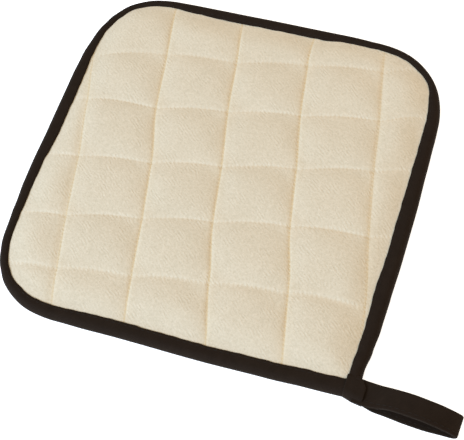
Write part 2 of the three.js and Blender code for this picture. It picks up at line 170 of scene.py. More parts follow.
class Number:
    """A number in a material's node tree that takes part in expressions."""

    def __init__(self, shader: "Shader", socket: bpy.types.NodeSocket) -> None:
        """Wraps a socket of a shader's tree."""
        self.shader = shader
        self.socket = socket

    def _math(self, operation: str, first: Any, second: Any = None) -> "Number":
        """Adds one Math node.

        Args:
            operation: What the node does.
            first: Its first value.
            second: Its second value, if it takes one.

        Returns:
            The node's result.
        """
        inputs = {0: first} if second is None else {0: first, 1: second}
        node = self.shader.node("ShaderNodeMath", {"operation": operation}, inputs)
        return Number(self.shader, node.outputs[0])

    def __add__(self, other: "Number | float") -> "Number":
        """Self + other."""
        return self._math("ADD", self, other)

    def __radd__(self, other: float) -> "Number":
        """Other + self."""
        return self._math("ADD", other, self)

    def __sub__(self, other: "Number | float") -> "Number":
        """Self - other."""
        return self._math("SUBTRACT", self, other)

    def __rsub__(self, other: float) -> "Number":
        """Other - self."""
        return self._math("SUBTRACT", other, self)

    def __mul__(self, other: "Number | float") -> "Number":
        """Self * other."""
        return self._math("MULTIPLY", self, other)

    def __rmul__(self, other: float) -> "Number":
        """Other * self."""
        return self._math("MULTIPLY", other, self)

    def sine(self) -> "Number":
        """The sine of the number."""
        return self._math("SINE", self)

    def wave(self) -> "Number":
        """The sine of the number, from 0 to 1."""
        return self.sine() * 0.5 + 0.5

    def least(self, other: "Number") -> "Number":
        """The smaller of two numbers."""
        return self._math("MINIMUM", self, other)

    def fading(self, reach: float) -> "Number":
        """Falls from 1 at 0 to nearly nothing past the reach, as a bell does."""
        return self._math("EXPONENT", self * self * (-1 / reach ** 2))

    def clamped(self) -> "Number":
        """The number kept from 0 to 1."""
        node = self.shader.node("ShaderNodeClamp", {}, {"Value": self})
        return Number(self.shader, node.outputs[0])


class Shader:
    """A material under construction: its node tree and the ways to add to it."""

    def __init__(self, name: str) -> None:
        """Starts a material with only its surface shader and output.

        Args:
            name: The material's name.
        """
        self.material = bpy.data.materials.new(name)
        self.material.use_nodes = True
        self.tree = self.material.node_tree
        self.tree.nodes.clear()
        self.surface = self.node("ShaderNodeBsdfPrincipled", {}, {})
        self.node("ShaderNodeOutputMaterial", {}, {"Surface": self.surface.outputs["BSDF"]})

    def node(self, kind: str, settings: dict[str, Any], inputs: dict[Any, Any]) -> bpy.types.Node:
        """Adds a node.

        Args:
            kind: The node's type.
            settings: Its properties, set first.
            inputs: A value, socket or Number for each input, by index, identifier or name.

        Returns:
            The node.
        """
        node = self.tree.nodes.new(kind)
        for name, value in settings.items():
            setattr(node, name, value)
        for key, value in inputs.items():
            self.feed(node, key, value)
        return node

    def feed(self, node: bpy.types.Node, key: Any, value: Any) -> None:
        """Sets or links one input of a node.

        Args:
            node: The node.
            key: The input's index, identifier or name.
            value: A value, a socket or a Number.
        """
        by_identifier = {socket.identifier: socket for socket in node.inputs}
        socket = by_identifier.get(key) or node.inputs[key]
        if isinstance(value, Number):
            self.tree.links.new(value.socket, socket)
        elif isinstance(value, bpy.types.NodeSocket):
            self.tree.links.new(value, socket)
        else:
            socket.default_value = value

    def dressed(self, inputs: dict[str, Any]) -> bpy.types.Material:
        """Feeds the surface shader and hands over the material.

        Args:
            inputs: A value, socket or Number for each of the surface shader's inputs.

        Returns:
            The finished material.
        """
        for name, value in inputs.items():
            self.feed(self.surface, name, value)
        return self.material

    def millimetres(self) -> bpy.types.NodeSocket:
        """Reads the place on the piece from its object coordinates.

        Returns:
            The place in millimetres.
        """
        place = self.node("ShaderNodeTexCoord", {}, {}).outputs["Object"]
        scale = (1 / METRES,) * 3
        return self.node("ShaderNodeVectorMath", {"operation": "MULTIPLY"}, {0: place, 1: scale}).outputs[0]

    def own_place(self, name: str) -> bpy.types.NodeSocket:
        """The place on the cloth that the piece's own attribute gives."""
        return self.node("ShaderNodeAttribute", {"attribute_name": name}, {}).outputs["Vector"]

    def axes(self, place: bpy.types.NodeSocket) -> tuple[Number, Number, Number]:
        """The three numbers of a place."""
        node = self.node("ShaderNodeSeparateXYZ", {}, {0: place})
        return tuple(Number(self, socket) for socket in node.outputs)

    def joined(self, x: Any, y: Any, z: Any) -> bpy.types.NodeSocket:
        """A place from three numbers."""
        return self.node("ShaderNodeCombineXYZ", {}, {0: x, 1: y, 2: z}).outputs[0]

    def noise(self, place: bpy.types.NodeSocket, size: float, detail: float = 2.0) -> Number:
        """Adds a noise that averages a half.

        Args:
            place: Where it is read, in millimetres.
            size: The size of its blotches, in millimetres.
            detail: How many finer layers it has.

        Returns:
            The noise.
        """
        inputs = {"Vector": place, "Scale": 1 / size, "Detail": detail, "Roughness": NOISE_ROUGHNESS}
        return Number(self, self.node("ShaderNodeTexNoise", {}, inputs).outputs[0])

    def mixed(self, share: "Number | float", first: Any, second: Any) -> bpy.types.NodeSocket:
        """Mixes two colours.

        Args:
            share: How much of the second there is.
            first: A colour or a socket.
            second: A colour or a socket.

        Returns:
            The mixed colour.
        """
        inputs = {"Factor_Float": share, "A_Color": first, "B_Color": second}
        node = self.node("ShaderNodeMix", {"data_type": "RGBA"}, inputs)
        return next(socket for socket in node.outputs if socket.identifier == "Result_Color")

    def bump(self, height: Number, depth: float, strength: float = 1.0) -> bpy.types.NodeSocket:
        """Adds relief.

        Args:
            height: The relief, from 0 to 1.
            depth: How deep it is, in millimetres.
            strength: How much of it shows.

        Returns:
            The normal.
        """
        inputs = {"Height": height, "Distance": depth * METRES, "Strength": strength}
        return self.node("ShaderNodeBump", {}, inputs).outputs[0]


Colour = tuple[float, float, float, float]


class Layer(NamedTuple):
    """A layer of a finish's unevenness: its size, how much it tints and raises, and its detail."""

    size: float
    tint: float
    relief: float = 0.0
    detail: float = 2.0


@dataclass(frozen=True)
class BrushedCotton:
    """The pad's unbleached cotton: a napped twill with painted warm shade down in the lengthwise seams, a
    painted highlight along all seams, and puckered by the seams.
    """

    slot: Slot = Slot.COTTON
    cream: Colour = (0.540, 0.466, 0.342, 1.0)
    pale: Colour = (0.690, 0.603, 0.468, 1.0)
    # Painted shade: the warm tan that the lengthwise seam grooves and the hollows beside them are tinted
    # towards, standing in for warm shade there.
    shade_tan: Colour = (0.600, 0.430, 0.205, 1.0)
    # Painted highlight: a paler cream laid along every seam, standing in for the lit edges of the seams.
    seam_highlight: Colour = (0.80, 0.725, 0.59, 1.0)
    middle_tone: float = 0.5
    rib_pitch: float = 1.55
    rib_angle: float = math.radians(-41)
    rib_bend: float = 2.4
    rib_bend_size: float = 4.5
    rib_tint: float = 0.15
    rib_relief: float = 0.18
    patch_size: float = 7.0
    patch_level: float = 0.48
    patch_edge: float = 6.0
    streaks: Layer = Layer(0.9, 0.6, 0.5)
    streak_stretch: float = 0.35
    nap: Layer = Layer(0.5, 1.1, 0.5)
    fluff: Layer = Layer(1.15, 1.3, 0.9, 3.0)
    blotch: Layer = Layer(16.0, 0.3, detail=3.0)
    relief: float = 0.16
    roughness: float = 0.9
    nap_roughness: float = 0.12
    gloss: float = 0.08
    # Painted shade: how strongly and how narrowly the lengthwise seams are tinted tan.
    lengthwise_seam_shade: float = 0.58
    seam_shade_width: float = 0.42
    # Painted highlight: how strongly and how wide the paler band along the seams is.
    seam_highlight_share: float = 0.14
    seam_highlight_width: float = 1.7
    # Painted shade: a broad, faint tan tint beside every lengthwise seam.
    hollow_shade_share: float = 0.10
    hollow_shade_width: float = 3.0
    pucker_pitch: float = 2.3
    pucker_width: float = 1.2
    pucker_drift: float = 2.0
    pucker_drift_size: float = 6.0
    lengthwise_pucker: float = 0.3
    crosswise_pucker: float = 0.25
    quilt_turn: float = QUILT_TURN

    def material(self) -> bpy.types.Material:
        """Builds the finish.

        Returns:
            The material.
        """
        shader = Shader("brushed_cotton")
        place = shader.millimetres()
        x, y, z = shader.axes(place)
        across = x * -math.sin(self.rib_angle) + y * math.cos(self.rib_angle)
        along = x * math.cos(self.rib_angle) + y * math.sin(self.rib_angle)
        streaked = shader.joined(across, along * self.streak_stretch, z)
        streaks = shader.noise(streaked, self.streaks.size, self.streaks.detail) - NOISE_AVERAGE
        nap, fluff, blotch = (shader.noise(place, layer.size, layer.detail) - NOISE_AVERAGE
                              for layer in (self.nap, self.fluff, self.blotch))
        twill = self.twill(shader, place, across)
        tone = (twill * self.rib_tint + nap * self.nap.tint + fluff * self.fluff.tint
                + streaks * self.streaks.tint + blotch * self.blotch.tint + self.middle_tone)
        colour = shader.mixed(tone.clamped(), self.cream, self.pale)
        sideways, endways, _ = shader.axes(shader.own_place("seam_near"))
        # Painted highlight: paler cream along every seam, for the lit seam edges.
        seam_highlight = sideways.least(endways).fading(self.seam_highlight_width) * self.seam_highlight_share
        colour = shader.mixed(seam_highlight, colour, self.seam_highlight)
        # Painted shade: tan tint down in the lengthwise seams and in the broad hollows beside them.
        lengthwise = sideways.fading(self.seam_shade_width) * self.lengthwise_seam_shade
        hollow_shade = sideways.fading(self.hollow_shade_width) * self.hollow_shade_share
        height = (twill * self.rib_relief + nap * self.nap.relief + streaks * self.streaks.relief
                  + fluff * self.fluff.relief + self.puckers(shader, sideways, endways))
        return shader.dressed({
            "Base Color": shader.mixed((lengthwise + hollow_shade).clamped(), colour, self.shade_tan),
            "Roughness": nap * self.nap_roughness + self.roughness,
            "Normal": shader.bump(height, self.relief),
            "Specular IOR Level": self.gloss,
        })

    def twill(self, shader: Shader, place: bpy.types.NodeSocket, across: Number) -> Number:
        """Draws the diagonal ribs, which bend a little and show only in patches.

        Args:
            shader: The material under construction.
            place: The place on the piece, in millimetres.
            across: The distance across the ribs.

        Returns:
            The ribs, from -1 to 1, and 0 where they don't show.
        """
        bend = shader.noise(place, self.rib_bend_size) * self.rib_bend
        ribs = ((across + bend) * (2 * math.pi / self.rib_pitch)).sine()
        patches = (shader.noise(place, self.patch_size) - self.patch_level) * self.patch_edge
        return ribs * patches.clamped()

    def puckers(self, shader: Shader, sideways: Number, endways: Number) -> Number:
        """Gathers the cloth a little at every stitch of both sets of seams.

        Args:
            shader: The material under construction.
            sideways: How far the nearest lengthwise seam is.
            endways: How far the nearest crosswise seam is.

        Returns:
            The relief.
        """
        place = shader.millimetres()
        x, y, _ = shader.axes(place)
        cosine, sine = math.cos(self.quilt_turn), math.sin(self.quilt_turn)
        across, along = x * cosine + y * sine, y * cosine - x * sine
        drift = shader.noise(place, self.pucker_drift_size) * self.pucker_drift
        turn = 2 * math.pi / self.pucker_pitch
        lengthwise = ((along + drift) * turn).sine() * sideways.fading(self.pucker_width)
        crosswise = ((across + drift) * turn).sine() * endways.fading(self.pucker_width)
        return lengthwise * self.lengthwise_pucker + crosswise * self.crosswise_pucker


@dataclass(frozen=True)
class BiasTape:
    """The binding's dark cotton tape, cut on the bias, with its threads at 45 degrees."""

    slot: Slot = Slot.TAPE
    deep: Colour = (0.0106, 0.0066, 0.0045, 1.0)
    raised: Colour = (0.0194, 0.0125, 0.0086, 1.0)
    least_tone: float = 0.3
    thread_pitch: float = 0.55
    weave_tint: float = 0.35
    weave_relief: float = 0.6
    fibre: Layer = Layer(0.45, 0.9, 0.4, 3.0)
    slub: Layer = Layer(0.9, 0.7, 0.5)
    slub_stretch: float = 0.2
    rubbed: Layer = Layer(6.0, 0.9, detail=3.0)
    relief: float = 0.07
    relief_strength: float = 0.8
    roughness: float = 0.68
    fibre_roughness: float = 0.2
    gloss: float = 0.1
    gloss_tint: Colour = (1.0, 0.80, 0.65, 1.0)
    sheen: float = 0.03
    sheen_roughness: float = 0.35
    sheen_tint: Colour = (1.0, 0.86, 0.74, 1.0)

    def material(self) -> bpy.types.Material:
        """Builds the finish.

        Returns:
            The material.
        """
        shader = Shader("bias_tape")
        cloth = shader.own_place("cloth_place")
        along, aside, _ = shader.axes(cloth)
        turn = 2 * math.pi / (self.thread_pitch * math.sqrt(2))
        weave = ((along + aside) * turn).wave() * ((along - aside) * turn).wave()
        fibre = shader.noise(cloth, self.fibre.size, self.fibre.detail)
        threads = shader.joined(along + aside, (along - aside) * self.slub_stretch, 0.0)
        slub = shader.noise(threads, self.slub.size, self.slub.detail)
        rubbed = shader.noise(cloth, self.rubbed.size, self.rubbed.detail)
        tone = (weave * self.weave_tint + (fibre - NOISE_AVERAGE) * self.fibre.tint
                + (slub - NOISE_AVERAGE) * self.slub.tint + (rubbed - NOISE_AVERAGE) * self.rubbed.tint
                + self.least_tone)
        height = weave * self.weave_relief + slub * self.slub.relief + fibre * self.fibre.relief
        return shader.dressed({
            "Base Color": shader.mixed(tone.clamped(), self.deep, self.raised),
            "Roughness": fibre * self.fibre_roughness + self.roughness,
            "Normal": shader.bump(height, self.relief, self.relief_strength),
            "Specular IOR Level": self.gloss,
            "Specular Tint": self.gloss_tint,
            "Sheen Weight": self.sheen,
            "Sheen Roughness": self.sheen_roughness,
            "Sheen Tint": self.sheen_tint,
        })


@dataclass(frozen=True)
class SewingThread:
    """Twisted sewing thread in one colour."""

    name: str
    slot: Slot
    light: Colour
    dark: Colour
    least_tone: float = 0.2
    twist_pitch: float = 0.45
    twist_lean: tuple[float, float] = (0.8, 1.3)
    ply_tint: float = 0.6
    lint_size: float = 0.3
    lint_tint: float = 0.8
    lint_roughness: float = 0.2
    roughness: float = 0.55
    relief: float = 0.05
    relief_strength: float = 0.6
    gloss: float = 0.2

    def material(self) -> bpy.types.Material:
        """Builds the finish.

        Returns:
            The material.
        """
        shader = Shader(self.name)
        place = shader.millimetres()
        x, y, z = shader.axes(place)
        twist = x + y * self.twist_lean[0] + z * self.twist_lean[1]
        plies = (twist * (2 * math.pi / self.twist_pitch)).wave()
        lint = shader.noise(place, self.lint_size)
        tone = plies * self.ply_tint + (lint - NOISE_AVERAGE) * self.lint_tint + self.least_tone
        return shader.dressed({
            "Base Color": shader.mixed(tone.clamped(), self.dark, self.light),
            "Roughness": lint * self.lint_roughness + self.roughness,
            "Normal": shader.bump(plies, self.relief, self.relief_strength),
            "Specular IOR Level": self.gloss,
        })


@dataclass(frozen=True)
class PaleFloor:
    """The plain pale floor, with a very faint grain and a glow that thins the shadows."""

    tone: Colour = (0.90, 0.90, 0.90, 1.0)
    grain: Colour = (0.92, 0.92, 0.92, 1.0)
    grain_size: float = 40.0
    grain_roughness: float = 0.1
    roughness: float = 0.8
    gloss: float = 0.1
    glow: float = 0.75
    glow_colour: Colour = (1.0, 1.0, 1.0, 1.0)

    def material(self) -> bpy.types.Material:
        """Builds the finish.

        Returns:
            The material.
        """
        shader = Shader("pale_floor")
        share = shader.noise(shader.millimetres(), self.grain_size)
        return shader.dressed({
            "Base Color": shader.mixed(share, self.tone, self.grain),
            "Roughness": share * self.grain_roughness + self.roughness,
            "Specular IOR Level": self.gloss,
            "Emission Color": self.glow_colour,
            "Emission Strength": self.glow,
        })


# Meshes


def to_frame(points: np.ndarray) -> np.ndarray:
    """Turns millimetres about the pad's middle into metres in the model's frame."""
    return (np.asarray(points, float) + PAD_CENTRE) * METRES


def mesh_piece(name: str, points: np.ndarray, faces: Sequence[Sequence[int]]) -> bpy.types.Object:
    """Makes a smooth-shaded mesh object at the origin.

    Args:
        name: The object's name.
        points: Its points, in millimetres about the pad's middle.
        faces: Its faces, as point numbers.

    Returns:
        The object.
    """
    mesh = bpy.data.meshes.new(name)
    mesh.from_pydata(to_frame(points).tolist(), [], [list(face) for face in faces])
    mesh.polygons.foreach_set("use_smooth", [True] * len(mesh.polygons))
    mesh.update()
    piece = bpy.data.objects.new(name, mesh)
    bpy.context.scene.collection.objects.link(piece)
    return piece


def settle(piece: bpy.types.Object) -> bpy.types.Object:
    """Replaces a piece by a plain mesh of what its modifiers make of it.

    Args:
        piece: A mesh or curve object with modifiers.

    Returns:
        A mesh object of the same name, with no modifiers.
    """
    name = piece.name
    evaluated = piece.evaluated_get(bpy.context.evaluated_depsgraph_get())
    mesh = bpy.data.meshes.new_from_object(evaluated)
    bpy.data.objects.remove(piece)
    mesh.name = name
    settled = bpy.data.objects.new(name, mesh)
    bpy.context.scene.collection.objects.link(settled)
    return settled


def coordinates(mesh: bpy.types.Mesh) -> np.ndarray:
    """Reads the points of a mesh.

    Args:
        mesh: The mesh.

    Returns:
        The points in the mesh's own units, one to a row.
    """
    flat = np.zeros(len(mesh.vertices) * 3)
    mesh.vertices.foreach_get("co", flat)
    return flat.reshape(-1, 3)


def set_coordinates(mesh: bpy.types.Mesh, points: np.ndarray) -> None:
    """Moves the points of a mesh."""
    mesh.vertices.foreach_set("co", np.asarray(points, float).ravel())
    mesh.update()


def face_outwards(piece: bpy.types.Object) -> None:
    """Turns the faces of a closed mesh so that they point out.

    Args:
        piece: The closed mesh, whose faces already agree with each other.
    """
    mesh = piece.data
    mesh.calc_loop_triangles()
    points = coordinates(mesh)
    corners = np.zeros(len(mesh.loop_triangles) * 3, int)
    mesh.loop_triangles.foreach_get("vertices", corners)
    a, b, c = (points[corners.reshape(-1, 3)[:, k]] for k in range(3))
    if np.einsum("ij,ij->i", a, np.cross(b, c)).sum() < 0:
        mesh.flip_normals()


def give_places(piece: bpy.types.Object, name: str, values: np.ndarray) -> None:
    """Stores one place for each point of a piece."""
    attribute = piece.data.attributes.new(name, "FLOAT_VECTOR", "POINT")
    attribute.data.foreach_set("vector", np.asarray(values, np.float32).ravel())


class Sweep:
    """Closed bodies made of a row of closed sections with the same number of points."""

    def __init__(self) -> None:
        """Starts with nothing."""
        self.points: list[np.ndarray] = []
        self.places: list[np.ndarray] = []
        self.faces: list[list[int]] = []
        self.count = 0

    def add(self, sections: np.ndarray, along: np.ndarray, aside: np.ndarray, cap: list[list[int]]) -> None:
        """Adds one body.

        Args:
            sections: The points, by section, by point, by axis, in millimetres.
            along: How far along the cloth each section is.
            aside: How far round the section each point is, by section and point.
            cap: The faces that close the first section, as point numbers.
        """
        rows, columns, _ = sections.shape
        first = self.count
        for row in range(rows - 1):
            for column in range(columns):
                after = (column + 1) % columns
                a, b = first + row * columns + column, first + row * columns + after
                self.faces.append([a, b, b + columns, a + columns])
        last = first + (rows - 1) * columns
        self.faces += [[first + k for k in reversed(face)] for face in cap]
        self.faces += [[last + k for k in face] for face in cap]
        self.points.append(sections.reshape(-1, 3))
        place = np.zeros((rows, columns, 3))
        place[:, :, 0] = np.asarray(along)[:, None]
        place[:, :, 1] = aside
        self.places.append(place.reshape(-1, 3))
        self.count += rows * columns

    def piece(self, name: str) -> bpy.types.Object:
        """Makes the piece, with its place on the cloth stored on it.

        Args:
            name: The piece's name.

        Returns:
            The piece.
        """
        made = mesh_piece(name, np.vstack(self.points), self.faces)
        give_places(made, "cloth_place", np.vstack(self.places))
        face_outwards(made)
        return made


# Shape of the pot holder


class EdgeRow(NamedTuple):
    """A row of the edge's table: how far the edge stands out and how wide the tape shows."""

    at: float
    out: float
    width: float


class EdgePoint(NamedTuple):
    """A place on the real edge."""

    point: np.ndarray
    inward: np.ndarray
    width: float


EDGE_ROWS = (
    EdgeRow(0, -0.8, 8.4), EdgeRow(26, -0.3, 8.0), EdgeRow(46, 0.35, 7.8), EdgeRow(80, 0.85, 7.6),
    EdgeRow(125, 0.4, 7.7), EdgeRow(140, 0.55, 7.7), EdgeRow(152, 0.4, 6.8), EdgeRow(162, 0.35, 6.7),
    EdgeRow(177, 1.0, 6.25), EdgeRow(190, 1.05, 5.3), EdgeRow(200, 0.3, 4.95), EdgeRow(212, -0.65, 5.15),
    EdgeRow(222, -1.05, 5.15), EdgeRow(236, -0.2, 5.7), EdgeRow(250, 0.6, 6.3), EdgeRow(262, 0.75, 6.6),
    EdgeRow(284, 0.3, 7.65), EdgeRow(320, 0.05, 7.35), EdgeRow(333, -0.5, 6.45), EdgeRow(345, -1.7, 5.4),
    EdgeRow(358, -1.15, 5.0), EdgeRow(366, -0.3, 5.0), EdgeRow(377, 0.55, 4.35), EdgeRow(388, 0.4, 4.9),
    EdgeRow(401, -0.2, 5.15), EdgeRow(418, 0.15, 6.6), EdgeRow(440, 0.27, 7.1), EdgeRow(463, 0.45, 7.05),
    EdgeRow(490, 0.4, 6.95), EdgeRow(503, 0.45, 5.7), EdgeRow(524, -0.4, 5.0), EdgeRow(545, 0.05, 4.65),
    EdgeRow(560, 0.0, 4.1), EdgeRow(577, -0.35, 6.45), EdgeRow(600, 0.42, 7.2), EdgeRow(616, 0.72, 7.5),
    EdgeRow(640, 1.2, 8.2), EdgeRow(668, 1.05, 8.1), EdgeRow(690, 0.5, 8.45), EdgeRow(707, 0.1, 7.65),
    EdgeRow(719, -0.83, 7.1), EdgeRow(729, -2.15, 6.5), EdgeRow(744, -2.3, 6.5),
)


@dataclass(frozen=True)
class Outline:
    """A square with three round corners and one sharp one, walked clockwise from the sharp one."""

    side: float = 200.0
    corner_radius: float = 43.0
    rows: tuple[EdgeRow, ...] = EDGE_ROWS
    near_corner: float = 11.0

    @property
    def stretches(self) -> list[tuple[float, bool]]:
        """Lists the stretches of the outline.

        Returns:
            The length of each stretch, and whether it is round.
        """
        first, side = self.side - self.corner_radius, self.side - 2 * self.corner_radius
        bend = math.pi / 2 * self.corner_radius
        return [(first, False), (bend, True), (side, False), (bend, True), (side, False), (bend, True),
                (first, False)]

    @property
    def length(self) -> float:
        """The length all round."""
        return sum(length for length, _ in self.stretches)

    def table(self, column: str, at: float) -> float:
        """A column of the edge's table at a distance along it."""
        stations = [row.at for row in self.rows]
        return float(soft_between(stations, [getattr(row, column) for row in self.rows], np.array(at)))

    def edge(self, at: float) -> EdgePoint:
        """Finds a place on the real, uneven edge.

        Args:
            at: The distance along the even outline from the sharp corner.

        Returns:
            The point, the inward direction and the tape's width there.
        """
        point = np.array([self.side / 2, -self.side / 2])
        heading, left = math.pi, at
        for length, is_round in self.stretches:
            step = min(left, length)
            forward = np.array([math.cos(heading), math.sin(heading)])
            inward = np.array([forward[1], -forward[0]])
            if is_round:
                swing = step / self.corner_radius
                point = point + forward * self.corner_radius * math.sin(swing)
                point = point + inward * self.corner_radius * (1 - math.cos(swing))
                heading -= swing
            else:
                point = point + forward * step
            left -= step
            if left <= 0:
                break
        inward = np.array([math.sin(heading), -math.cos(heading)])
        return EdgePoint(point - inward * self.table("out", at), inward, self.table("width", at))

    def ring(self, inset: Callable[[EdgePoint, float], float], step: float = 2.0) -> np.ndarray:
        """Draws a closed line inside the edge, with a sharp turn at the sharp corner.

        Args:
            inset: How far in the line is, from the edge's place and the distance from the corner.
            step: How far apart its points are.

        Returns:
            The points, clockwise from the sharp corner.
        """
        corner = self.edge(0.0)
        depth = inset(corner, 0.0) + self.side / 2 + corner.point[1]
        points = [np.array([self.side / 2 - depth, depth - self.side / 2])]
        count = round((self.length - 2 * self.near_corner) / step)
        for at in np.linspace(self.near_corner, self.length - self.near_corner, count):
            place = self.edge(at)
            from_corner = min(at, self.length - at)
            points.append(place.point + place.inward * inset(place, from_corner))
        return np.array(points)


class RingPlace(NamedTuple):
    """Where points are against a ring: the stretch, the share along it and the distance inside."""

    stretch: np.ndarray
    share: np.ndarray
    inside: np.ndarray


def against_ring(points: np.ndarray, ring: np.ndarray) -> RingPlace:
    """Finds the nearest place on a clockwise ring for each point.

    Args:
        points: The points.
        ring: The ring's points.

    Returns:
        The nearest stretch, the share along it, and how far inside the ring the point is.
    """
    start, step = ring, np.roll(ring, -1, axis=0) - ring
    offset = points[:, None, :] - start[None, :, :]
    share = np.clip((offset * step).sum(2) / (step * step).sum(1), 0, 1)
    away = offset - share[:, :, None] * step
    stretch = np.argmin((away * away).sum(2), axis=1)
    rows = np.arange(len(points))
    above = start[None, :, 1] > points[:, None, 1]
    slope = step[:, 0] / np.where(step[:, 1] == 0, 1, step[:, 1])
    crossed = (above != np.roll(above, -1, axis=1)) & (offset[:, :, 0] < offset[:, :, 1] * slope)
    side = np.where(crossed.sum(1) % 2 == 1, 1.0, -1.0)
    return RingPlace(stretch, share[rows, stretch], side * np.linalg.norm(away[rows, stretch], axis=1))


def on_ring(ring: np.ndarray, place: RingPlace) -> np.ndarray:
    """The points at the same places on another ring of as many points."""
    after = (place.stretch + 1) % len(ring)
    return ring[place.stretch] + (ring[after] - ring[place.stretch]) * place.share[:, None]


@dataclass(frozen=True)
class Quilting:
    """The grid of seams: two sets of lines, turned against the outline, each wandering a little."""

    across_pitch: float = 38.9
    down_pitch: float = 33.4
    middle_down: float = 2.7
    turn: float = QUILT_TURN
    row_arch: float = 1.4
    seams: int = 5
    lengthwise_stations: tuple[float, ...] = (-95, -62, -29, 4, 37, 70, 100)
    lengthwise_wander: tuple[tuple[float, ...], ...] = (
        (2.3, 1.1, 0.3, 0.4, -1.2, -3.3, -1.7),
        (0.7, 0.8, 1.2, 0.9, -1.7, -0.9, -0.8),
        (3.3, 1.0, -1.3, -0.9, -1.8, -0.9, -1.0),
        (2.2, 1.6, -1.0, -1.1, -2.1, -1.3, 1.6),
        (-0.3, 0.4, -0.6, -0.6, 0.3, 0.1, 0.4),
    )
    crosswise_stations: tuple[float, ...] = (-95, -78, -39, 0, 39, 78, 98)
    crosswise_wander: tuple[tuple[float, ...], ...] = (
        (3.3, 2.9, 1.3, 0.4, -1.5, -5.8, -6.3),
        (-0.8, -0.5, 0.1, 1.0, 1.5, -1.2, 0.2),
        (1.2, 1.4, -0.3, -0.1, 1.2, 2.9, 4.4),
        (2.3, 4.2, 0.2, 0.1, 0.1, 0.1, 2.8),
        (-0.9, -0.1, 1.5, -1.7, -1.1, -2.5, 0.5),
    )

    def lengthwise(self, seam: int, along: np.ndarray) -> np.ndarray:
        """Where a lengthwise seam is across the quilt, at distances along it."""
        even = (seam - (self.seams - 1) / 2) * self.across_pitch
        return even + soft_between(self.lengthwise_stations, self.lengthwise_wander[seam], along)

    def crosswise(self, seam: int, across: np.ndarray) -> np.ndarray:
        """Finds where a crosswise seam is, which arches a little between its crossings.

        Args:
            seam: The seam's number.
            across: The distances across the quilt.

        Returns:
            How far along the quilt the seam is there.
        """
        even = self.middle_down + (seam - (self.seams - 1) / 2) * self.down_pitch
        arch = self.row_arch * np.abs(np.sin(math.pi * across / self.across_pitch))
        return even + arch + soft_between(self.crosswise_stations, self.crosswise_wander[seam], across)

    def to_pad(self, places: np.ndarray) -> np.ndarray:
        """Turns places in the quilt's frame to the pad's."""
        cosine, sine = math.cos(self.turn), math.sin(self.turn)
        return places @ np.array([[cosine, sine], [-sine, cosine]])

    def from_pad(self, places: np.ndarray) -> np.ndarray:
        """Turns places in the pad's frame to the quilt's."""
        cosine, sine = math.cos(self.turn), math.sin(self.turn)
        return places @ np.array([[cosine, -sine], [sine, cosine]])

    def seam_distance(self, places: np.ndarray) -> tuple[np.ndarray, np.ndarray]:
        """Finds how far places are from the nearest seam of each set.

        Args:
            places: The places in the quilt's frame.

        Returns:
            The distances to the lengthwise and to the crosswise seams.
        """
        across, along = places[:, 0], places[:, 1]
        sideways = [np.abs(across - self.lengthwise(seam, along)) for seam in range(self.seams)]
        endways = [np.abs(along - self.crosswise(seam, across)) for seam in range(self.seams)]
        return np.min(sideways, axis=0), np.min(endways, axis=0)


class GridLine(NamedTuple):
    """A line of the pad's mesh, as a seam's number and the share of the way to the next seam."""

    number: int
    share: float


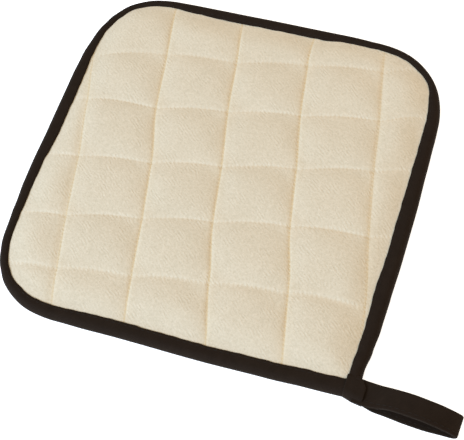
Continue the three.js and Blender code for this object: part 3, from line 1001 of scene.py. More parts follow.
@dataclass
class QuiltedPad:
    """The pad: two cotton covers over filling, puffed up between through-stitched seams."""

    outline: Outline
    quilting: Quilting
    cotton: BrushedCotton = field(default_factory=BrushedCotton)
    seam_top: float = 6.9
    crossing_dip: float = 0.3
    lengthwise_lip: float = 0.50
    crosswise_lip: float = 0.28
    lip_reach: float = 1.6
    cell_puff: float = 1.4
    puff_across: float = 17.5
    puff_down: float = 15.5
    puff_roundness: float = 2.0
    edge_top: float = 5.3
    crown: float = 0.6
    cell_back: float = 0.0
    seam_back: float = 0.8
    crossing_back: float = 1.2
    edge_back: float = 1.35
    back_reach: float = 6.0
    edge_reach: float = 15.0
    edge_roundness: float = 1.7
    back_edge_reach: float = 4.0
    unevenness: float = 0.3
    uneven_across: tuple[float, float] = (0.11, 1.3)
    uneven_down: tuple[float, float] = (0.13, 0.4)
    start_share: float = 0.8
    lines_a_cell: int = 18
    closeness: float = 0.62
    beyond_across: tuple[float, int] = (36.0, 15)
    beyond_front: tuple[float, int] = (54.0, 22)
    beyond_back: tuple[float, int] = (40.0, 16)
    laying_rounds: int = 8
    rim_inset: float = 2.7
    corner_inset: float = 4.7
    corner_reach: tuple[float, float] = (8.0, 24.0)
    border_inset: float = 0.7
    border_rounds: int = 6
    border_least: float = 0.02
    nose: tuple[tuple[float, float], ...] = ((2.0, 4.7), (1.5, 3.95), (1.4, 3.3), (1.6, 2.6), (2.1, 1.9))
    on_seam: float = 0.05
    under_tape: float = 0.5
    cloth_quality: int = 6
    cloth_mass: float = 0.02
    pressure: float = 4.0
    slack: float = -0.008
    bending: float = 2.0
    evening_rounds: int = 12
    furthest_move: float = 1.5
    frames: int = 20

    def build(self) -> bpy.types.Object:
        """Builds, puffs and dresses the pad.

        Returns:
            The padded cover.
        """
        points, faces, held = self.closed_cover(self.grid())
        piece = mesh_piece("padded_cover", points, faces)
        face_outwards(piece)
        self.puff(piece, held)
        piece = self.refine(piece)
        piece.data.materials.append(self.cotton.material())
        return piece

    def lines(self, before: int, after: int) -> list[GridLine]:
        """Lists the mesh's lines across one direction.

        Args:
            before: How many lie before the first seam.
            after: How many lie past the last seam.

        Returns:
            The lines in order.
        """
        even = np.arange(self.lines_a_cell) / self.lines_a_cell
        shares = even - self.closeness * np.sin(2 * math.pi * even) / (2 * math.pi)
        listed = [GridLine(-1, share) for share in np.arange(before) / before]
        for number in range(self.quilting.seams - 1):
            listed += [GridLine(number, share) for share in shares]
        listed += [GridLine(self.quilting.seams - 1, share) for share in np.arange(after + 1) / after]
        return listed

    def line_place(self, line: GridLine, seam_at: Callable[[int], np.ndarray], before: float,
                   after: float) -> np.ndarray:
        """Places a line of the mesh between its seams.

        Args:
            line: The line.
            seam_at: Gives a seam's places.
            before: How far the mesh runs on before the first seam.
            after: How far it runs on past the last.

        Returns:
            The line's places.
        """
        last = self.quilting.seams - 1
        if line.number < 0:
            return seam_at(0) - before * (1 - line.share)
        if line.number >= last:
            return seam_at(last) + after * line.share
        low = seam_at(line.number)
        return low + (seam_at(line.number + 1) - low) * line.share

    def grid(self) -> np.ndarray:
        """Lays out the mesh's points along the seams.

        Returns:
            The places in the quilt's frame, by row and column.
        """
        columns = self.lines(self.beyond_across[1], self.beyond_across[1])
        rows = self.lines(self.beyond_front[1], self.beyond_back[1])
        aside, front, back = self.beyond_across[0], self.beyond_front[0], self.beyond_back[0]
        places = np.zeros((len(rows), len(columns), 2))
        for _ in range(self.laying_rounds):
            for k, line in enumerate(columns):
                seam_at = partial(self.quilting.lengthwise, along=places[:, k, 1])
                places[:, k, 0] = self.line_place(line, seam_at, aside, aside)
            for k, line in enumerate(rows):
                seam_at = partial(self.quilting.crosswise, across=places[k, :, 0])
                places[k, :, 1] = self.line_place(line, seam_at, front, back)
        return places

    def inset(self, from_corner: float) -> float:
        """How far inside the edge the cover turns down, further in at the loop's corner."""
        share = float(rise(from_corner, *self.corner_reach))
        return self.corner_inset + (self.rim_inset - self.corner_inset) * share

    def rim(self, further: float = 0.0) -> np.ndarray:
        """The ring that the cover turns down at, or one that lies further in."""
        return self.outline.ring(lambda _, from_corner: self.inset(from_corner) + further)

    def height(self, places: np.ndarray, inside: np.ndarray, face: Face) -> np.ndarray:
        """Gives the height of one face of the pad before it is puffed.

        Args:
            places: The places in the quilt's frame.
            inside: How far each is from the tape.
            face: Which face.

        Returns:
            The heights.
        """
        sideways, endways = self.quilting.seam_distance(places)
        if face is Face.BACK:
            aside, ahead = swell(sideways, self.back_reach), swell(endways, self.back_reach)
            level = self.crossing_back + (self.seam_back - self.crossing_back) * np.maximum(aside, ahead)
            level = level + (self.cell_back - level) * aside * ahead
            return self.edge_back + (level - self.edge_back) * swell(inside, self.back_edge_reach)
        pad = self.quilting.to_pad(places) / (self.outline.side / 2)
        crown = self.crown * (1 - np.clip(pad[:, 0] ** 2, 0, 1)) * (1 - np.clip(pad[:, 1] ** 2, 0, 1))
        (across, across_start), (down, down_start) = self.uneven_across, self.uneven_down
        uneven = self.unevenness * np.sin(across * places[:, 0] + across_start)
        uneven = uneven * np.sin(down * places[:, 1] + down_start)
        share = self.start_share
        dip = self.crossing_dip * (1 - swell(np.maximum(sideways, endways), 2 * self.lip_reach))
        lip = self.lengthwise_lip * (swell(sideways, self.lip_reach) - 1)
        lip = lip + self.crosswise_lip * (swell(endways, self.lip_reach) - 1)
        fullness = swell(sideways, self.puff_across, self.puff_roundness)
        fullness = fullness * swell(endways, self.puff_down, self.puff_roundness)
        level = self.seam_top + crown - dip + lip + share * (self.cell_puff + uneven) * fullness
        return self.edge_top + (level - self.edge_top) * swell(inside, self.edge_reach, self.edge_roundness)

    def cut(self, grid: np.ndarray) -> tuple[np.ndarray, np.ndarray]:
        """Cuts the grid to the pad's outline.

        Args:
            grid: The mesh's places in the quilt's frame, by row and column.

        Returns:
            The points that are left, in the pad's frame, and the faces between them.
        """
        rows, columns, _ = grid.shape
        flat = self.quilting.to_pad(grid.reshape(-1, 2))
        kept = against_ring(flat, self.rim()).inside > self.border_inset
        number = np.arange(rows * columns).reshape(rows, columns)
        quads = np.stack([number[:-1, :-1], number[:-1, 1:], number[1:, 1:], number[1:, :-1]], axis=-1)
        quads = quads.reshape(-1, 4)
        used, renumbered = np.unique(quads[kept[quads].all(axis=1)], return_inverse=True)
        return flat[used], renumbered.reshape(-1, 4)

    def closed_cover(self, grid: np.ndarray) -> tuple[np.ndarray, list[list[int]], list[int]]:
        """Cuts the grid to the pad's outline, doubles it and closes it with a rounded side.

        Args:
            grid: The mesh's places in the quilt's frame, by row and column.

        Returns:
            The points, the faces, and the points that the stitching holds.
        """
        flat, quads = self.cut(grid)
        border = self.border(quads)
        rim = self.rim()
        at_rim = self.spread(against_ring(flat[border], rim), len(rim))
        flat[border] = on_ring(self.rim(self.border_inset), at_rim)
        places = self.quilting.from_pad(flat)
        tape = against_ring(flat, self.outline.ring(lambda place, _: place.width)).inside
        points = [np.column_stack([flat, self.height(places, np.maximum(tape, 0), face)])
                  for face in (Face.TOP, Face.BACK)]
        count = len(flat)
        total = 2 * count
        loops = [border]
        for depth, level in [(self.rim_inset, self.edge_top), *self.nose, (self.rim_inset, self.edge_back)]:
            line = on_ring(self.rim(depth - self.rim_inset), at_rim)
            points.append(np.column_stack([line, np.full(len(line), level)]))
            loops.append(np.arange(total, total + len(border)))
            total += len(border)
        loops.append(border + count)
        faces = quads.tolist() + (quads[:, ::-1] + count).tolist()
        for upper, lower in zip(loops, loops[1:]):
            faces += np.column_stack([np.roll(upper, -1), upper, lower, np.roll(lower, -1)]).tolist()
        nearest_seam = np.minimum(*self.quilting.seam_distance(places))
        stitched = np.flatnonzero((nearest_seam < self.on_seam) | (tape < self.under_tape))
        held = np.concatenate([stitched, stitched + count, np.arange(2 * count, total)])
        return np.vstack(points), faces, held.tolist()

    def spread(self, places: RingPlace, stretches: int) -> RingPlace:
        """Spreads a walk of places evenly along the ring that they lie on.

        Args:
            places: The places, in order along the ring.
            stretches: How many stretches the ring has.

        Returns:
            The places, a little further apart where they were crowded.
        """
        start = places.stretch + places.share
        onward = (np.diff(start, append=start[:1]) + stretches / 2) % stretches - stretches / 2
        way = 1.0 if onward.sum() > 0 else -1.0
        for _ in range(self.border_rounds):
            onward = (onward + np.roll(onward, 1) + np.roll(onward, -1)) / 3
        onward = way * np.maximum(way * onward, self.border_least)
        onward *= way * stretches / onward.sum()
        walked = (start[0] + np.concatenate([[0], np.cumsum(onward[:-1])])) % stretches
        stretch = np.minimum(walked.astype(int), stretches - 1)
        return RingPlace(stretch, walked - stretch, places.inside)

    def border(self, quads: np.ndarray) -> np.ndarray:
        """Walks round the open edge of a sheet of quads.

        Args:
            quads: The faces, as point numbers.

        Returns:
            The points on the open edge, in order.
        """
        edges = np.concatenate([quads[:, [k, (k + 1) % 4]] for k in range(4)])
        known = {(int(a), int(b)) for a, b in edges}
        onward = {a: b for a, b in known if (b, a) not in known}
        start = min(onward)
        walk = [start]
        while onward[walk[-1]] != start:
            walk.append(onward[walk[-1]])
        if len(walk) != len(onward):
            raise ValueError("the sheet has more than one open edge")
        return np.array(walk)

    def puff(self, piece: bpy.types.Object, held: list[int]) -> None:
        """Fills the pad by simulating its cloth under pressure, held at its stitching.

        Args:
            piece: The closed cover.
            held: The points that don't move.
        """
        rest = coordinates(piece.data)
        group = piece.vertex_groups.new(name="stitched_down")
        group.add(held, 1.0, "REPLACE")
        cloth = piece.modifiers.new("filling", "CLOTH")
        settings = cloth.settings
        settings.vertex_group_mass = group.name
        settings.quality = self.cloth_quality
        settings.mass = self.cloth_mass
        settings.use_pressure = True
        settings.uniform_pressure_force = self.pressure
        settings.shrink_min = self.slack
        settings.bending_stiffness = self.bending
        settings.effector_weights.gravity = 0.0
        cloth.point_cache.frame_start = 1
        cloth.point_cache.frame_end = self.frames
        for number in range(1, self.frames + 1):
            bpy.context.scene.frame_set(number)
        puffed = coordinates(piece.evaluated_get(bpy.context.evaluated_depsgraph_get()).data)
        bpy.context.scene.frame_set(1)
        piece.modifiers.remove(cloth)
        move = self.evened(piece.data, (puffed - rest) / METRES, held)
        size = np.linalg.norm(move, axis=1, keepdims=True)
        limited = move * np.tanh(size / self.furthest_move) * self.furthest_move / np.maximum(size, 1e-9)
        LOG.info("cloth moved %.2f mm on average, %.2f at most", size.mean(), size.max())
        LOG.info("top rose %.2f mm at the 95th percentile", np.percentile(move[:, 2], 95))
        moved = rest + limited * METRES
        moved[:, 2] = np.maximum(moved[:, 2], 0.0)
        set_coordinates(piece.data, moved)

    def evened(self, mesh: bpy.types.Mesh, move: np.ndarray, held: list[int]) -> np.ndarray:
        """Evens out how far neighbouring points moved, as filling under the cloth does.

        Args:
            mesh: The cover's mesh.
            move: How far each point moved.
            held: The points that don't move.

        Returns:
            The evened moves.
        """
        ends = np.zeros(len(mesh.edges) * 2, int)
        mesh.edges.foreach_get("vertices", ends)
        first, second = ends.reshape(-1, 2).T
        neighbours = np.bincount(ends, minlength=len(move))[:, None]
        for _ in range(self.evening_rounds):
            around = np.zeros_like(move)
            np.add.at(around, first, move[second])
            np.add.at(around, second, move[first])
            move = (move + around / neighbours) / 2
            move[held] = 0.0
        return move

    def refine(self, piece: bpy.types.Object) -> bpy.types.Object:
        """Smooths the cover by one subdivision and rests it on the floor.

        Args:
            piece: The cover.

        Returns:
            The smoothed cover, which holds how near the seams are at each of its points.
        """
        smooth = piece.modifiers.new("smooth", "SUBSURF")
        smooth.levels = 1
        smooth.render_levels = 1
        piece = settle(piece)
        points = coordinates(piece.data)
        points[:, 2] = np.maximum(points[:, 2], 0.0)
        set_coordinates(piece.data, points)
        piece.data.polygons.foreach_set("use_smooth", [True] * len(piece.data.polygons))
        flat = (points / METRES - PAD_CENTRE)[:, :2]
        near = self.quilting.seam_distance(self.quilting.from_pad(flat))
        give_places(piece, "seam_near", np.column_stack([*near, np.zeros(len(flat))]))
        return piece


class Crease(NamedTuple):
    """A shallow crease in the lap: where it runs, how wide it is and how deep."""

    x: float
    width: float
    depth: float


@dataclass(frozen=True)
class Lap:
    """The end of the tape, folded over the near edge at the sharp corner, widening to the loop."""

    left: float = 90.9
    right: float = 101.0
    stations: tuple[float, ...] = (90.9, 93.0, 95.5, 99.3, 101.0)
    near: tuple[float, ...] = (-99.5, -100.1, -100.9, -101.5, -101.7)
    far: float = -88.6
    top: float = 7.3
    slant_x: float = 97.6
    slant_y: float = -93.5
    side_round: float = 0.45
    side_points: int = 5
    middle_points: int = 12
    thinnest: float = 0.12
    creases: tuple[Crease, ...] = (Crease(93.2, 1.1, 0.14), Crease(98.0, 1.5, 0.10))
    creased_from: tuple[float, float] = (4.5, 6.0)

    def near_at(self, x: float) -> float:
        """Where its near edge is."""
        return float(np.interp(x, self.stations, self.near))

    def insets(self) -> list[float]:
        """Lists where its sections are, closer together at its round sides.

        Returns:
            How far each section is from the left side.
        """
        width = self.right - self.left
        ease = self.side_round * (1 - np.cos(np.linspace(0, math.pi / 2, self.side_points)))
        middle = np.linspace(self.side_round, width - self.side_round, self.middle_points)[1:-1]
        return [*ease, *middle, *(width - ease[::-1])]

    def crease(self, x: np.ndarray) -> np.ndarray:
        """How deep the creases are."""
        return sum(crease.depth * np.exp(-(((x - crease.x) / crease.width) ** 2)) for crease in self.creases)


@dataclass
class EdgeBinding:
    """The folded tape round the edge: a rolled edge with one flange over the pad and one under."""

    outline: Outline
    tape: BiasTape = field(default_factory=BiasTape)
    lap: Lap = field(default_factory=Lap)
    top: float = 6.6
    wall: float = 0.95
    lip: float = 0.45
    narrow_roll: float = 0.55
    step: float = 0.8
    start: float = 5.4
    end_from_corner: float = 10.2
    climb: float = 14.0
    end_top: float = 6.8
    flange_points: int = 8
    roll_points: int = 13
    lip_points: int = 4
    width_waver: float = 0.22
    width_waves: Waver = Waver((31.0, 17.3, 11.1, 6.7), 1.7)
    height_waver: float = 0.10
    pull_waves: Waver = Waver((9.1, 6.3, 13.7), 0.6)
    pull_slant: float = 4.0
    pull_middle: float = 0.6
    pull_swing: float = 0.4
    swing_waves: Waver = Waver((83.0, 47.0), 2.1)
    tape_width: float = 19.0

    def build(self) -> bpy.types.Object:
        """Builds and dresses the binding with its lap.

        Returns:
            The binding.
        """
        sweep = Sweep()
        self.add_round(sweep)
        self.add_lap(sweep)
        piece = sweep.piece("bound_edge")
        piece.data.materials.append(self.tape.material())
        return piece

    @property
    def flange(self) -> np.ndarray:
        """How far across the flange each of its points is, from 1 at its lip towards 0."""
        return np.linspace(1, 0, self.flange_points, endpoint=False)

    def middle_line(self, width: float, top: float, bend: np.ndarray | float = 0.0) -> np.ndarray:
        """Draws the middle of the folded tape's section.

        Args:
            width: How wide the tape shows.
            top: How high it stands.
            bend: A small rise of each point of the top flange.

        Returns:
            Insets and heights, from the lip on top round the edge to the lip underneath.
        """
        roll, half = top / 2, self.wall / 2
        bulge = min(roll, self.narrow_roll * width)
        flange = self.flange
        reach = width - half - bulge
        over = np.column_stack([bulge + flange * reach, top - half - self.lip * flange ** 2 + bend])
        turn = np.linspace(math.pi / 2, 3 * math.pi / 2, self.roll_points)
        round_inset = bulge + (bulge - half) * np.cos(turn)
        round_edge = np.column_stack([round_inset, roll + (roll - half) * np.sin(turn)])
        under = np.column_stack([bulge + flange[::-1] * reach, np.full(len(flange), half)])
        return np.vstack([over, round_edge, under])

    def thick(self, line: np.ndarray, walls: float) -> np.ndarray:
        """Gives a section's middle line its thickness, with round lips.

        Args:
            line: The middle line.
            walls: How thick the cloth is.

        Returns:
            The closed section: outside, far lip, inside back again, near lip.
        """
        run = np.gradient(line, axis=0)
        run /= np.linalg.norm(run, axis=1, keepdims=True)
        normal = np.column_stack([run[:, 1], -run[:, 0]])
        outer, inner = line - normal * walls / 2, line + normal * walls / 2
        turn = np.linspace(0, math.pi, self.lip_points + 2)[1:-1, None]
        far = line[-1] - np.cos(turn) * normal[-1] * walls / 2 + np.sin(turn) * run[-1] * walls / 2
        near = line[0] + np.cos(turn) * normal[0] * walls / 2 - np.sin(turn) * run[0] * walls / 2
        return np.vstack([outer, far, inner[::-1], near])

    def cap(self) -> list[list[int]]:
        """Lists the faces that close the end of a thick section.

        Returns:
            The faces, as point numbers.
        """
        line, lip = 2 * self.flange_points + self.roll_points, self.lip_points
        mirror = 2 * line + lip - 1
        faces = [[k, k + 1, mirror - k - 1, mirror - k] for k in range(line - 1)]
        faces.append([*range(line - 1, line + lip + 1)])
        faces.append([mirror, *range(mirror + 1, mirror + 1 + lip), 0])
        return faces

    def add_round(self, sweep: Sweep) -> None:
        """Adds the tape from its start under the lap, clockwise round the pad, to its end.

        Args:
            sweep: The bodies that it joins.
        """
        end = self.outline.length - self.end_from_corner
        stations = np.linspace(self.start, end, round((end - self.start) / self.step))
        sections, asides = [], []
        for at in stations:
            place = self.outline.edge(at)
            width = place.width + self.width_waver * self.width_waves.at(at)
            top = self.top + (self.end_top - self.top) * float(rise(at, end - self.climb, end))
            pull = np.sin(math.pi * self.flange) * self.pull_waves.at(at + self.flange * self.pull_slant)
            strength = self.pull_middle + self.pull_swing * self.swing_waves.at(at)
            section = self.thick(self.middle_line(width, top, self.height_waver * pull * strength), self.wall)
            spread = place.point + place.inward * section[:, :1]
            sections.append(np.column_stack([spread, section[:, 1]]))
            asides.append(distance_along(section))
        sweep.add(np.array(sections), stations, np.array(asides), self.cap())

    def add_lap(self, sweep: Sweep) -> None:
        """Adds the tape's end, folded over the near edge, with rounded side edges.

        Args:
            sweep: The bodies that it joins.
        """
        lap = self.lap
        width = lap.right - lap.left
        slant = (lap.right - lap.slant_x) / (lap.far - lap.slant_y)
        sections, asides = [], []
        for inward in lap.insets():
            from_end = min(inward, width - inward, lap.side_round)
            rounded = math.sqrt(1 - (1 - from_end / lap.side_round) ** 2)
            near = lap.near_at(lap.left + inward)
            middle_line = self.middle_line(lap.far - near, lap.top)
            section = self.thick(middle_line, self.wall * max(lap.thinnest, rounded))
            y = near + section[:, 0]
            narrowing = np.maximum(y - lap.slant_y, 0) * slant * (section[:, 1] > lap.top / 2)
            x = lap.left + inward * (width - narrowing) / width
            z = section[:, 1] - lap.crease(x) * rise(section[:, 1], *lap.creased_from)
            sections.append(np.column_stack([x, y, z]))
            asides.append(distance_along(section))
        sweep.add(np.array(sections), np.array(lap.insets()), np.array(asides), self.cap())


class LoopRow(NamedTuple):
    """A point of the loop's middle line."""

    x: float
    y: float
    z: float


LOOP_ROWS = (
    LoopRow(96, -95.2, 5.2), LoopRow(101, -95.7, 5.25), LoopRow(107, -96.0, 6.1),
    LoopRow(114, -96.1, 8.0), LoopRow(123, -96.7, 8.8), LoopRow(132, -97.4, 8.2),
    LoopRow(139.5, -98.0, 6.4), LoopRow(144.6, -98.4, 4.2), LoopRow(146.2, -98.5, 2.6),
    LoopRow(144.9, -98.6, 1.15), LoopRow(142, -98.7, 0.9), LoopRow(130, -98.7, 0.9),
    LoopRow(112, -97.05, 0.9), LoopRow(106, -96.5, 1.4), LoopRow(101.5, -95.6, 2.4),
    LoopRow(96, -94.6, 2.45),
)


@dataclass
class HangingLoop:
    """The strap of folded tape that leaves the corner, turns at its tip and comes back."""

    tape: BiasTape
    width: float = 11.0
    thickness: float = 1.8
    stations: int = 220
    notch: float = 0.55
    fold_points: int = 9
    flat_points: int = 14
    edge_points: int = 7
    sideways: tuple[float, float] = (1.0, -0.07)
    sag: float = 0.16
    sag_waves: Waver = Waver((37.0, 21.0), 0.9)
    root_spread: float = 0.13
    root_length: float = 19.0
    root_share: float = 0.3
    width_waver: float = 0.018
    width_waves: Waver = Waver((23.0, 13.0, 41.0), 0.4)

    def __post_init__(self) -> None:
        """Works out the middle line and the directions at each station."""
        rows = np.array([[row.x, row.y, row.z] for row in LOOP_ROWS])
        self.line = centripetal_curve(rows, self.stations)
        forward = np.gradient(self.line, axis=0)
        self.forward = forward / np.linalg.norm(forward, axis=1, keepdims=True)
        heading = np.array([*self.sideways, 0.0])
        heading /= np.linalg.norm(heading)
        self.level = np.array([-heading[1], heading[0], 0.0])
        up = np.cross(self.forward, self.level)
        self.up = up / np.linalg.norm(up, axis=1, keepdims=True)
        self.along = distance_along(self.line)

    def section(self) -> np.ndarray:
        """Draws the folded strap's section: one round fold, and two folded edges that meet.

        Returns:
            The points of the closed section, across and up.
        """
        half, thick = self.width / 2, self.thickness / 2
        fold = [(half - thick + thick * math.cos(a), thick * math.sin(a))
                for a in np.linspace(-math.pi / 2, math.pi / 2, self.fold_points)]
        flat = np.linspace(half - thick, -half + thick, self.flat_points)[1:-1]
        over = [(x, thick) for x in flat]
        under = [(x, -thick) for x in flat[::-1]]
        layer = thick / 2
        upper, lower = ([(-half + layer - layer * math.sin(a), middle + layer * math.cos(a))
                         for a in np.linspace(0, math.pi, self.edge_points)] for middle in (layer, -layer))
        between_edges = [(-half + layer + self.notch, 0.0)]
        return np.array(fold + over + upper + between_edges + lower + under)

    def build(self) -> bpy.types.Object:
        """Builds and dresses the loop.

        Returns:
            The strap.
        """
        section = self.section()
        share = section[:, 0] / (self.width / 2)
        sections = []
        for at, centre, up in zip(self.along, self.line, self.up):
            dish = -self.sag * (1 - share ** 2) * (1 + self.sag_waves.at(at)) / 2
            from_root = float(rise(at, self.root_share * self.root_length, self.root_length))
            stretch = 1 + self.root_spread * (1 - from_root) + self.width_waver * self.width_waves.at(at)
            aside = section[:, :1] * stretch * self.level
            ring = centre + aside + (section[:, 1] + dish)[:, None] * up
            ring[:, 2] = np.maximum(ring[:, 2], 0.0)
            sections.append(ring)
        asides = np.tile(distance_along(section), (self.stations, 1))
        sweep = Sweep()
        sweep.add(np.array(sections), self.along, asides, [list(range(len(section)))])
        piece = sweep.piece("strap_loop")
        piece.data.materials.append(self.tape.material())
        return piece


# Stitching


@dataclass(frozen=True)
class StitchMaker:
    """A node tree that lays stitches along curves."""

    pitch: float = 2.3
    length: float = 1.8
    thickness: float = 0.34
    seed: int = 7
    segments: int = 6
    rings: int = 4
    least_size: float = 0.88
    most_size: float = 1.06

    def tree(self, thread: bpy.types.Material) -> bpy.types.NodeTree:
        """Builds the tree.

        Args:
            thread: The thread's material.

        Returns:
            The tree, with inputs for the rows, pitch, length, thickness and seed.
        """
        tree = bpy.data.node_groups.new("stitch_rows", "GeometryNodeTree")
        face = tree.interface
        face.new_socket("Rows", in_out="INPUT", socket_type="NodeSocketGeometry")
        for name in ("Pitch", "Length", "Thickness"):
            face.new_socket(name, in_out="INPUT", socket_type="NodeSocketFloat")
        face.new_socket("Seed", in_out="INPUT", socket_type="NodeSocketInt")
        face.new_socket("Stitches", in_out="OUTPUT", socket_type="NodeSocketGeometry")
        add = tree.nodes.new
        source, result = add("NodeGroupInput"), add("NodeGroupOutput")
        spots = add("GeometryNodeCurveToPoints")
        spots.mode = "LENGTH"
        grain = add("GeometryNodeMeshUVSphere")
        grain.inputs["Segments"].default_value = self.segments
        grain.inputs["Rings"].default_value = self.rings
        grain.inputs["Radius"].default_value = 0.5
        smooth = add("GeometryNodeSetShadeSmooth")
        size = add("ShaderNodeCombineXYZ")
        shaped = add("GeometryNodeTransform")
        turned = add("FunctionNodeAlignRotationToVector")
        turned.axis = "Z"
        uneven = add("FunctionNodeRandomValue")
        uneven.data_type = "FLOAT"
        number = {socket.identifier: socket for socket in (*uneven.inputs, *uneven.outputs)}
        number["Min_001"].default_value = self.least_size
        number["Max_001"].default_value = self.most_size
        laid = add("GeometryNodeInstanceOnPoints")
        real = add("GeometryNodeRealizeInstances")
        dressed = add("GeometryNodeSetMaterial")
        dressed.inputs["Material"].default_value = thread
        for giver, taker in (
            (source.outputs["Rows"], spots.inputs["Curve"]),
            (source.outputs["Pitch"], spots.inputs["Length"]),
            (source.outputs["Thickness"], size.inputs[0]),
            (source.outputs["Thickness"], size.inputs[1]),
            (source.outputs["Length"], size.inputs[2]),
            (source.outputs["Seed"], uneven.inputs["Seed"]),
            (grain.outputs["Mesh"], smooth.inputs["Geometry"]),
            (smooth.outputs["Geometry"], shaped.inputs["Geometry"]),
            (size.outputs[0], shaped.inputs["Scale"]),
            (spots.outputs["Tangent"], turned.inputs["Vector"]),
            (spots.outputs["Points"], laid.inputs["Points"]),
            (shaped.outputs["Geometry"], laid.inputs["Instance"]),
            (turned.outputs[0], laid.inputs["Rotation"]),
            (number["Value_001"], laid.inputs["Scale"]),
            (laid.outputs["Instances"], real.inputs["Geometry"]),
            (real.outputs["Geometry"], dressed.inputs["Geometry"]),
            (dressed.outputs["Geometry"], result.inputs["Stitches"]),
        ):
            tree.links.new(giver, taker)
        return tree

    def sew(self, name: str, rows: list[np.ndarray], thread: bpy.types.Material) -> bpy.types.Object:
        """Lays stitches along rows.

        Args:
            name: The piece's name.
            rows: The points of each row, in millimetres.
            thread: The thread's material.

        Returns:
            The stitches as one mesh.
        """
        curve = bpy.data.curves.new(name, "CURVE")
        curve.dimensions = "3D"
        for row in rows:
            spline = curve.splines.new("POLY")
            spline.points.add(len(row) - 1)
            places = np.column_stack([to_frame(row), np.ones(len(row))])
            spline.points.foreach_set("co", places.ravel())
        piece = bpy.data.objects.new(name, curve)
        bpy.context.scene.collection.objects.link(piece)
        modifier = piece.modifiers.new("stitches", "NODES")
        modifier.node_group = self.tree(thread)
        values = {"Pitch": self.pitch * METRES, "Length": self.length * METRES,
                  "Thickness": self.thickness * METRES, "Seed": self.seed}
        for socket in modifier.node_group.interface.items_tree:
            if socket.name in values:
                modifier[socket.identifier] = values[socket.name]
        piece.update_tag()
        bpy.context.view_layer.update()
        return settle(piece)


class Surface:
    """A finished piece that stitches are laid on."""

    clear_of_all = 40.0

    def __init__(self, piece: bpy.types.Object) -> None:
        """Reads the piece's faces for finding heights.

        Args:
            piece: The piece.
        """
        self.tree = BVHTree.FromPolygons(
            [vertex.co[:] for vertex in piece.data.vertices],
            [polygon.vertices[:] for polygon in piece.data.polygons],
        )

    def laid(self, flat: np.ndarray, face: Face, above: float) -> np.ndarray:
        """Lays a flat row on the surface.

        Args:
            flat: The row seen from above, in millimetres.
            face: Which face it lies on.
            above: How far the row's middle stands off the surface.

        Returns:
            The row's points.
        """
        points = []
        for x, y in flat:
            start = Vector(to_frame([x, y, self.clear_of_all * face.value]))
            hit, *_ = self.tree.ray_cast(start, Vector((0, 0, -face.value)))
            if hit is not None:
                points.append([x, y, hit.z / METRES + above * face.value])
        return np.array(points)


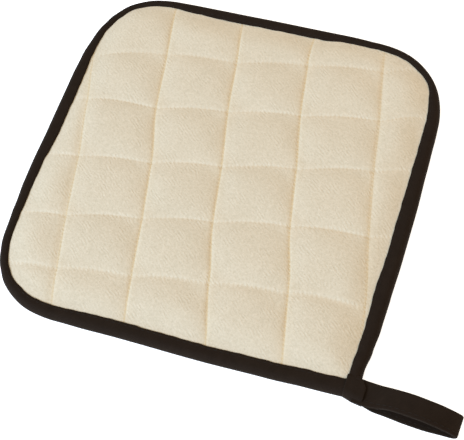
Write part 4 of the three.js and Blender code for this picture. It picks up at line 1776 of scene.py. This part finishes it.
@dataclass
class Stitching:
    """All the sewing that shows."""

    outline: Outline
    quilting: Quilting
    quilt_stitch: StitchMaker = StitchMaker(length=2.0)
    tape_stitch: StitchMaker = StitchMaker(pitch=3.1, length=2.5, thickness=0.26, seed=11)
    cream: SewingThread = SewingThread(
        "cream_thread", Slot.COTTON, (0.70, 0.61, 0.46, 1.0), (0.62, 0.51, 0.35, 1.0)
    )
    dark: SewingThread = SewingThread(
        "dark_thread", Slot.TAPE, (0.019, 0.013, 0.009, 1.0), (0.010, 0.007, 0.005, 1.0)
    )
    lengthwise_lift: float = -0.05
    crosswise_lift: float = -0.11
    back_lift: float = 0.12
    quilt_reach: float = 130.0
    quilt_step: float = 1.3
    quilt_margin: float = 0.6
    tape_margin: float = 1.5
    tape_step: float = 1.2
    tape_from_corner: float = 14.0
    lap_step: float = 0.8
    lap_margins: tuple[float, float] = (0.8, 0.6)
    strap_margin: float = 1.7
    strap_from: float = 102.0
    strap_clear: float = 0.25

    def seam_rows(self) -> list[np.ndarray]:
        """Draws every quilting seam inside the tape, seen from above.

        Returns:
            The rows, in millimetres, a lengthwise and a crosswise one in turn.
        """
        ring = self.outline.ring(lambda place, _: place.width)
        run = np.arange(-self.quilt_reach, self.quilt_reach, self.quilt_step)
        lines = []
        for seam in range(self.quilting.seams):
            lines.append(np.column_stack([self.quilting.lengthwise(seam, run), run]))
            lines.append(np.column_stack([run, self.quilting.crosswise(seam, run)]))
        rows = []
        for line in lines:
            flat = self.quilting.to_pad(line)
            inside = np.flatnonzero(against_ring(flat, ring).inside > self.quilt_margin)
            rows.append(flat[inside[0]:inside[-1] + 1])
        return rows

    def quilt(self, pad: bpy.types.Object) -> list[bpy.types.Object]:
        """Sews the quilting on both faces of the pad.

        Args:
            pad: The padded cover.

        Returns:
            The thread on top and the thread on the back.
        """
        surface, thread, rows = Surface(pad), self.cream.material(), self.seam_rows()
        made = []
        lifts = [self.lengthwise_lift, self.crosswise_lift] * self.quilting.seams
        for face, name in ((Face.TOP, "quilting_thread_top"), (Face.BACK, "quilting_thread_back")):
            laid = [surface.laid(row, face, lift) for row, lift in zip(rows, lifts)]
            if face is Face.BACK:
                laid = [row[row[:, 2] > self.back_lift] for row in laid]
            made.append(self.quilt_stitch.sew(name, laid, thread))
        return made

    def bind(self, binding: bpy.types.Object, lap: Lap) -> bpy.types.Object:
        """Sews the tape down along its inner edge, and across the lap.

        Args:
            binding: The binding.
            lap: Its lap.

        Returns:
            The thread.
        """
        surface, thread = Surface(binding), self.dark.material()
        last = self.outline.length - self.tape_from_corner
        places = [self.outline.edge(at) for at in np.arange(self.tape_from_corner, last, self.tape_step)]
        rim = np.array([place.point + place.inward * (place.width - self.tape_margin) for place in places])
        left, right = lap.left + self.lap_margins[0], lap.slant_x - self.lap_margins[1]
        stations = np.arange(left, right, self.lap_step)
        across = np.column_stack([stations, np.full(len(stations), lap.far - self.tape_margin)])
        rows = [surface.laid(rim, Face.TOP, 0.0), surface.laid(across, Face.TOP, 0.0)]
        return self.tape_stitch.sew("binding_thread", rows, thread)

    def close_strap(self, loop: HangingLoop) -> bpy.types.Object:
        """Sews the strap's folded edges together, on both of its faces.

        Args:
            loop: The loop.

        Returns:
            The thread.
        """
        margin = -loop.width / 2 + self.strap_margin
        rows = []
        for side in (1, -1):
            row = loop.line + loop.level * margin + loop.up * side * (loop.thickness / 2)
            clear = (row[:, 0] > self.strap_from) & (row[:, 2] > self.strap_clear)
            ends = np.flatnonzero(np.diff(clear.astype(int))) + 1
            rows += [part for part, flag in zip(np.split(row, ends), np.split(clear, ends)) if flag[0]]
        return self.tape_stitch.sew("strap_thread", rows, self.dark.material())


# Studio


@dataclass
class Studio:
    """The plain pale floor, the soft light and the camera at the photograph's angle."""

    camera_at: tuple[float, float, float] = (123.2, -283.2, 548.5)
    heading: float = 27.192
    tilt: float = 28.233
    roll: float = -10.676
    lens: float = 94.42
    clip: tuple[float, float] = (0.01, 20.0)
    floor: PaleFloor = field(default_factory=PaleFloor)
    floor_half: float = 3.0
    floor_drop: float = 0.0002
    sky: float = 0.68
    sky_tint: Colour = (1.02, 1.0, 0.86, 1.0)
    key_power: float = 60.0
    key_size: float = 1.28
    key_from: tuple[float, float, float] = (-1.63, -1.49, 1.39)
    key_tint: Colour = (0.78, 1.0, 1.35, 1.0)
    fill_power: float = 6.5
    fill_size: float = 0.8
    fill_from: tuple[float, float, float] = (1.02, 0.93, 0.87)
    fill_tint: Colour = (1.0, 0.45, 0.10, 1.0)

    def place_camera(self) -> None:
        """Puts the camera where the photograph was taken from."""
        data = bpy.data.cameras.new("camera")
        data.lens = self.lens
        data.clip_start, data.clip_end = self.clip
        camera = bpy.data.objects.new("camera", data)
        bpy.context.scene.collection.objects.link(camera)
        place = Matrix.Translation(Vector(self.camera_at) * METRES)
        for degrees, axis in ((self.heading, "Z"), (self.tilt, "X"), (self.roll, "Z")):
            place = place @ Matrix.Rotation(math.radians(degrees), 4, axis)
        camera.matrix_world = place
        bpy.context.scene.camera = camera

    def area_light(self, name: str, place: Vector, size: float, power: float, tint: Colour) -> None:
        """Adds a soft light that faces the pot holder.

        Args:
            name: The light's name.
            place: Where it stands, in metres.
            size: How wide it is, in metres.
            power: How strong it is, in watts.
            tint: Its colour.
        """
        data = bpy.data.lights.new(name, "AREA")
        data.shape = "DISK"
        data.size = size
        data.energy = power
        data.color = tint[:3]
        light = bpy.data.objects.new(name, data)
        light.location = place
        light.rotation_mode = "QUATERNION"
        light.rotation_quaternion = (-place).to_track_quat("-Z", "Y")
        bpy.context.scene.collection.objects.link(light)

    def build(self) -> None:
        """Builds the floor and the light."""
        mesh = bpy.data.meshes.new("floor")
        half, level = self.floor_half, -self.floor_drop
        corners = [(-half, -half, level), (half, -half, level), (half, half, level), (-half, half, level)]
        mesh.from_pydata(corners, [], [(0, 1, 2, 3)])
        mesh.materials.append(self.floor.material())
        floor = bpy.data.objects.new("floor", mesh)
        bpy.context.scene.collection.objects.link(floor)
        world = bpy.data.worlds.new("soft_light")
        world.use_nodes = True
        background = world.node_tree.nodes["Background"]
        background.inputs["Color"].default_value = self.sky_tint
        background.inputs["Strength"].default_value = self.sky
        bpy.context.scene.world = world
        self.area_light("key", Vector(self.key_from), self.key_size, self.key_power, self.key_tint)
        self.area_light("fill", Vector(self.fill_from), self.fill_size, self.fill_power, self.fill_tint)
        bpy.context.scene.view_settings.view_transform = "Standard"
        bpy.context.scene.view_settings.look = "None"


def attach(piece: bpy.types.Object, slot: Slot, *nodes: Node) -> None:
    """Ties a piece to the model.

    Args:
        piece: The finished piece.
        slot: The record's material slot for the piece; not used.
        nodes: The solid nodes that it stands for.
    """
    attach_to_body(piece, BODY)
    if nodes:
        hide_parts(*(node.value for node in nodes))
    LOG.info("%s: %d faces", piece.name, len(piece.data.polygons))


def main() -> None:
    """Builds the pot holder piece by piece, and its studio."""
    logging.basicConfig(level=logging.INFO, format="%(message)s")
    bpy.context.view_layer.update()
    studio = Studio()
    studio.place_camera()
    outline, quilting = Outline(), Quilting()

    pad = QuiltedPad(outline, quilting)
    cover = pad.build()
    attach(cover, pad.cotton.slot, Node.PAD)

    binding = EdgeBinding(outline)
    bound_edge = binding.build()
    attach(bound_edge, binding.tape.slot, Node.BINDING)
    tape_size = (binding.tape_width * METRES, outline.length * METRES)

    loop = HangingLoop(binding.tape)
    strap = loop.build()
    attach(strap, loop.tape.slot, Node.LOOP)
    strap_size = (loop.width * METRES, float(loop.along[-1]) * METRES)

    stitching = Stitching(outline, quilting)
    for thread in stitching.quilt(cover):
        attach(thread, stitching.cream.slot)
    attach(stitching.bind(bound_edge, binding.lap), stitching.dark.slot)
    attach(stitching.close_strap(loop), stitching.dark.slot)

    studio.build()


if __name__ == "__main__":
    main()
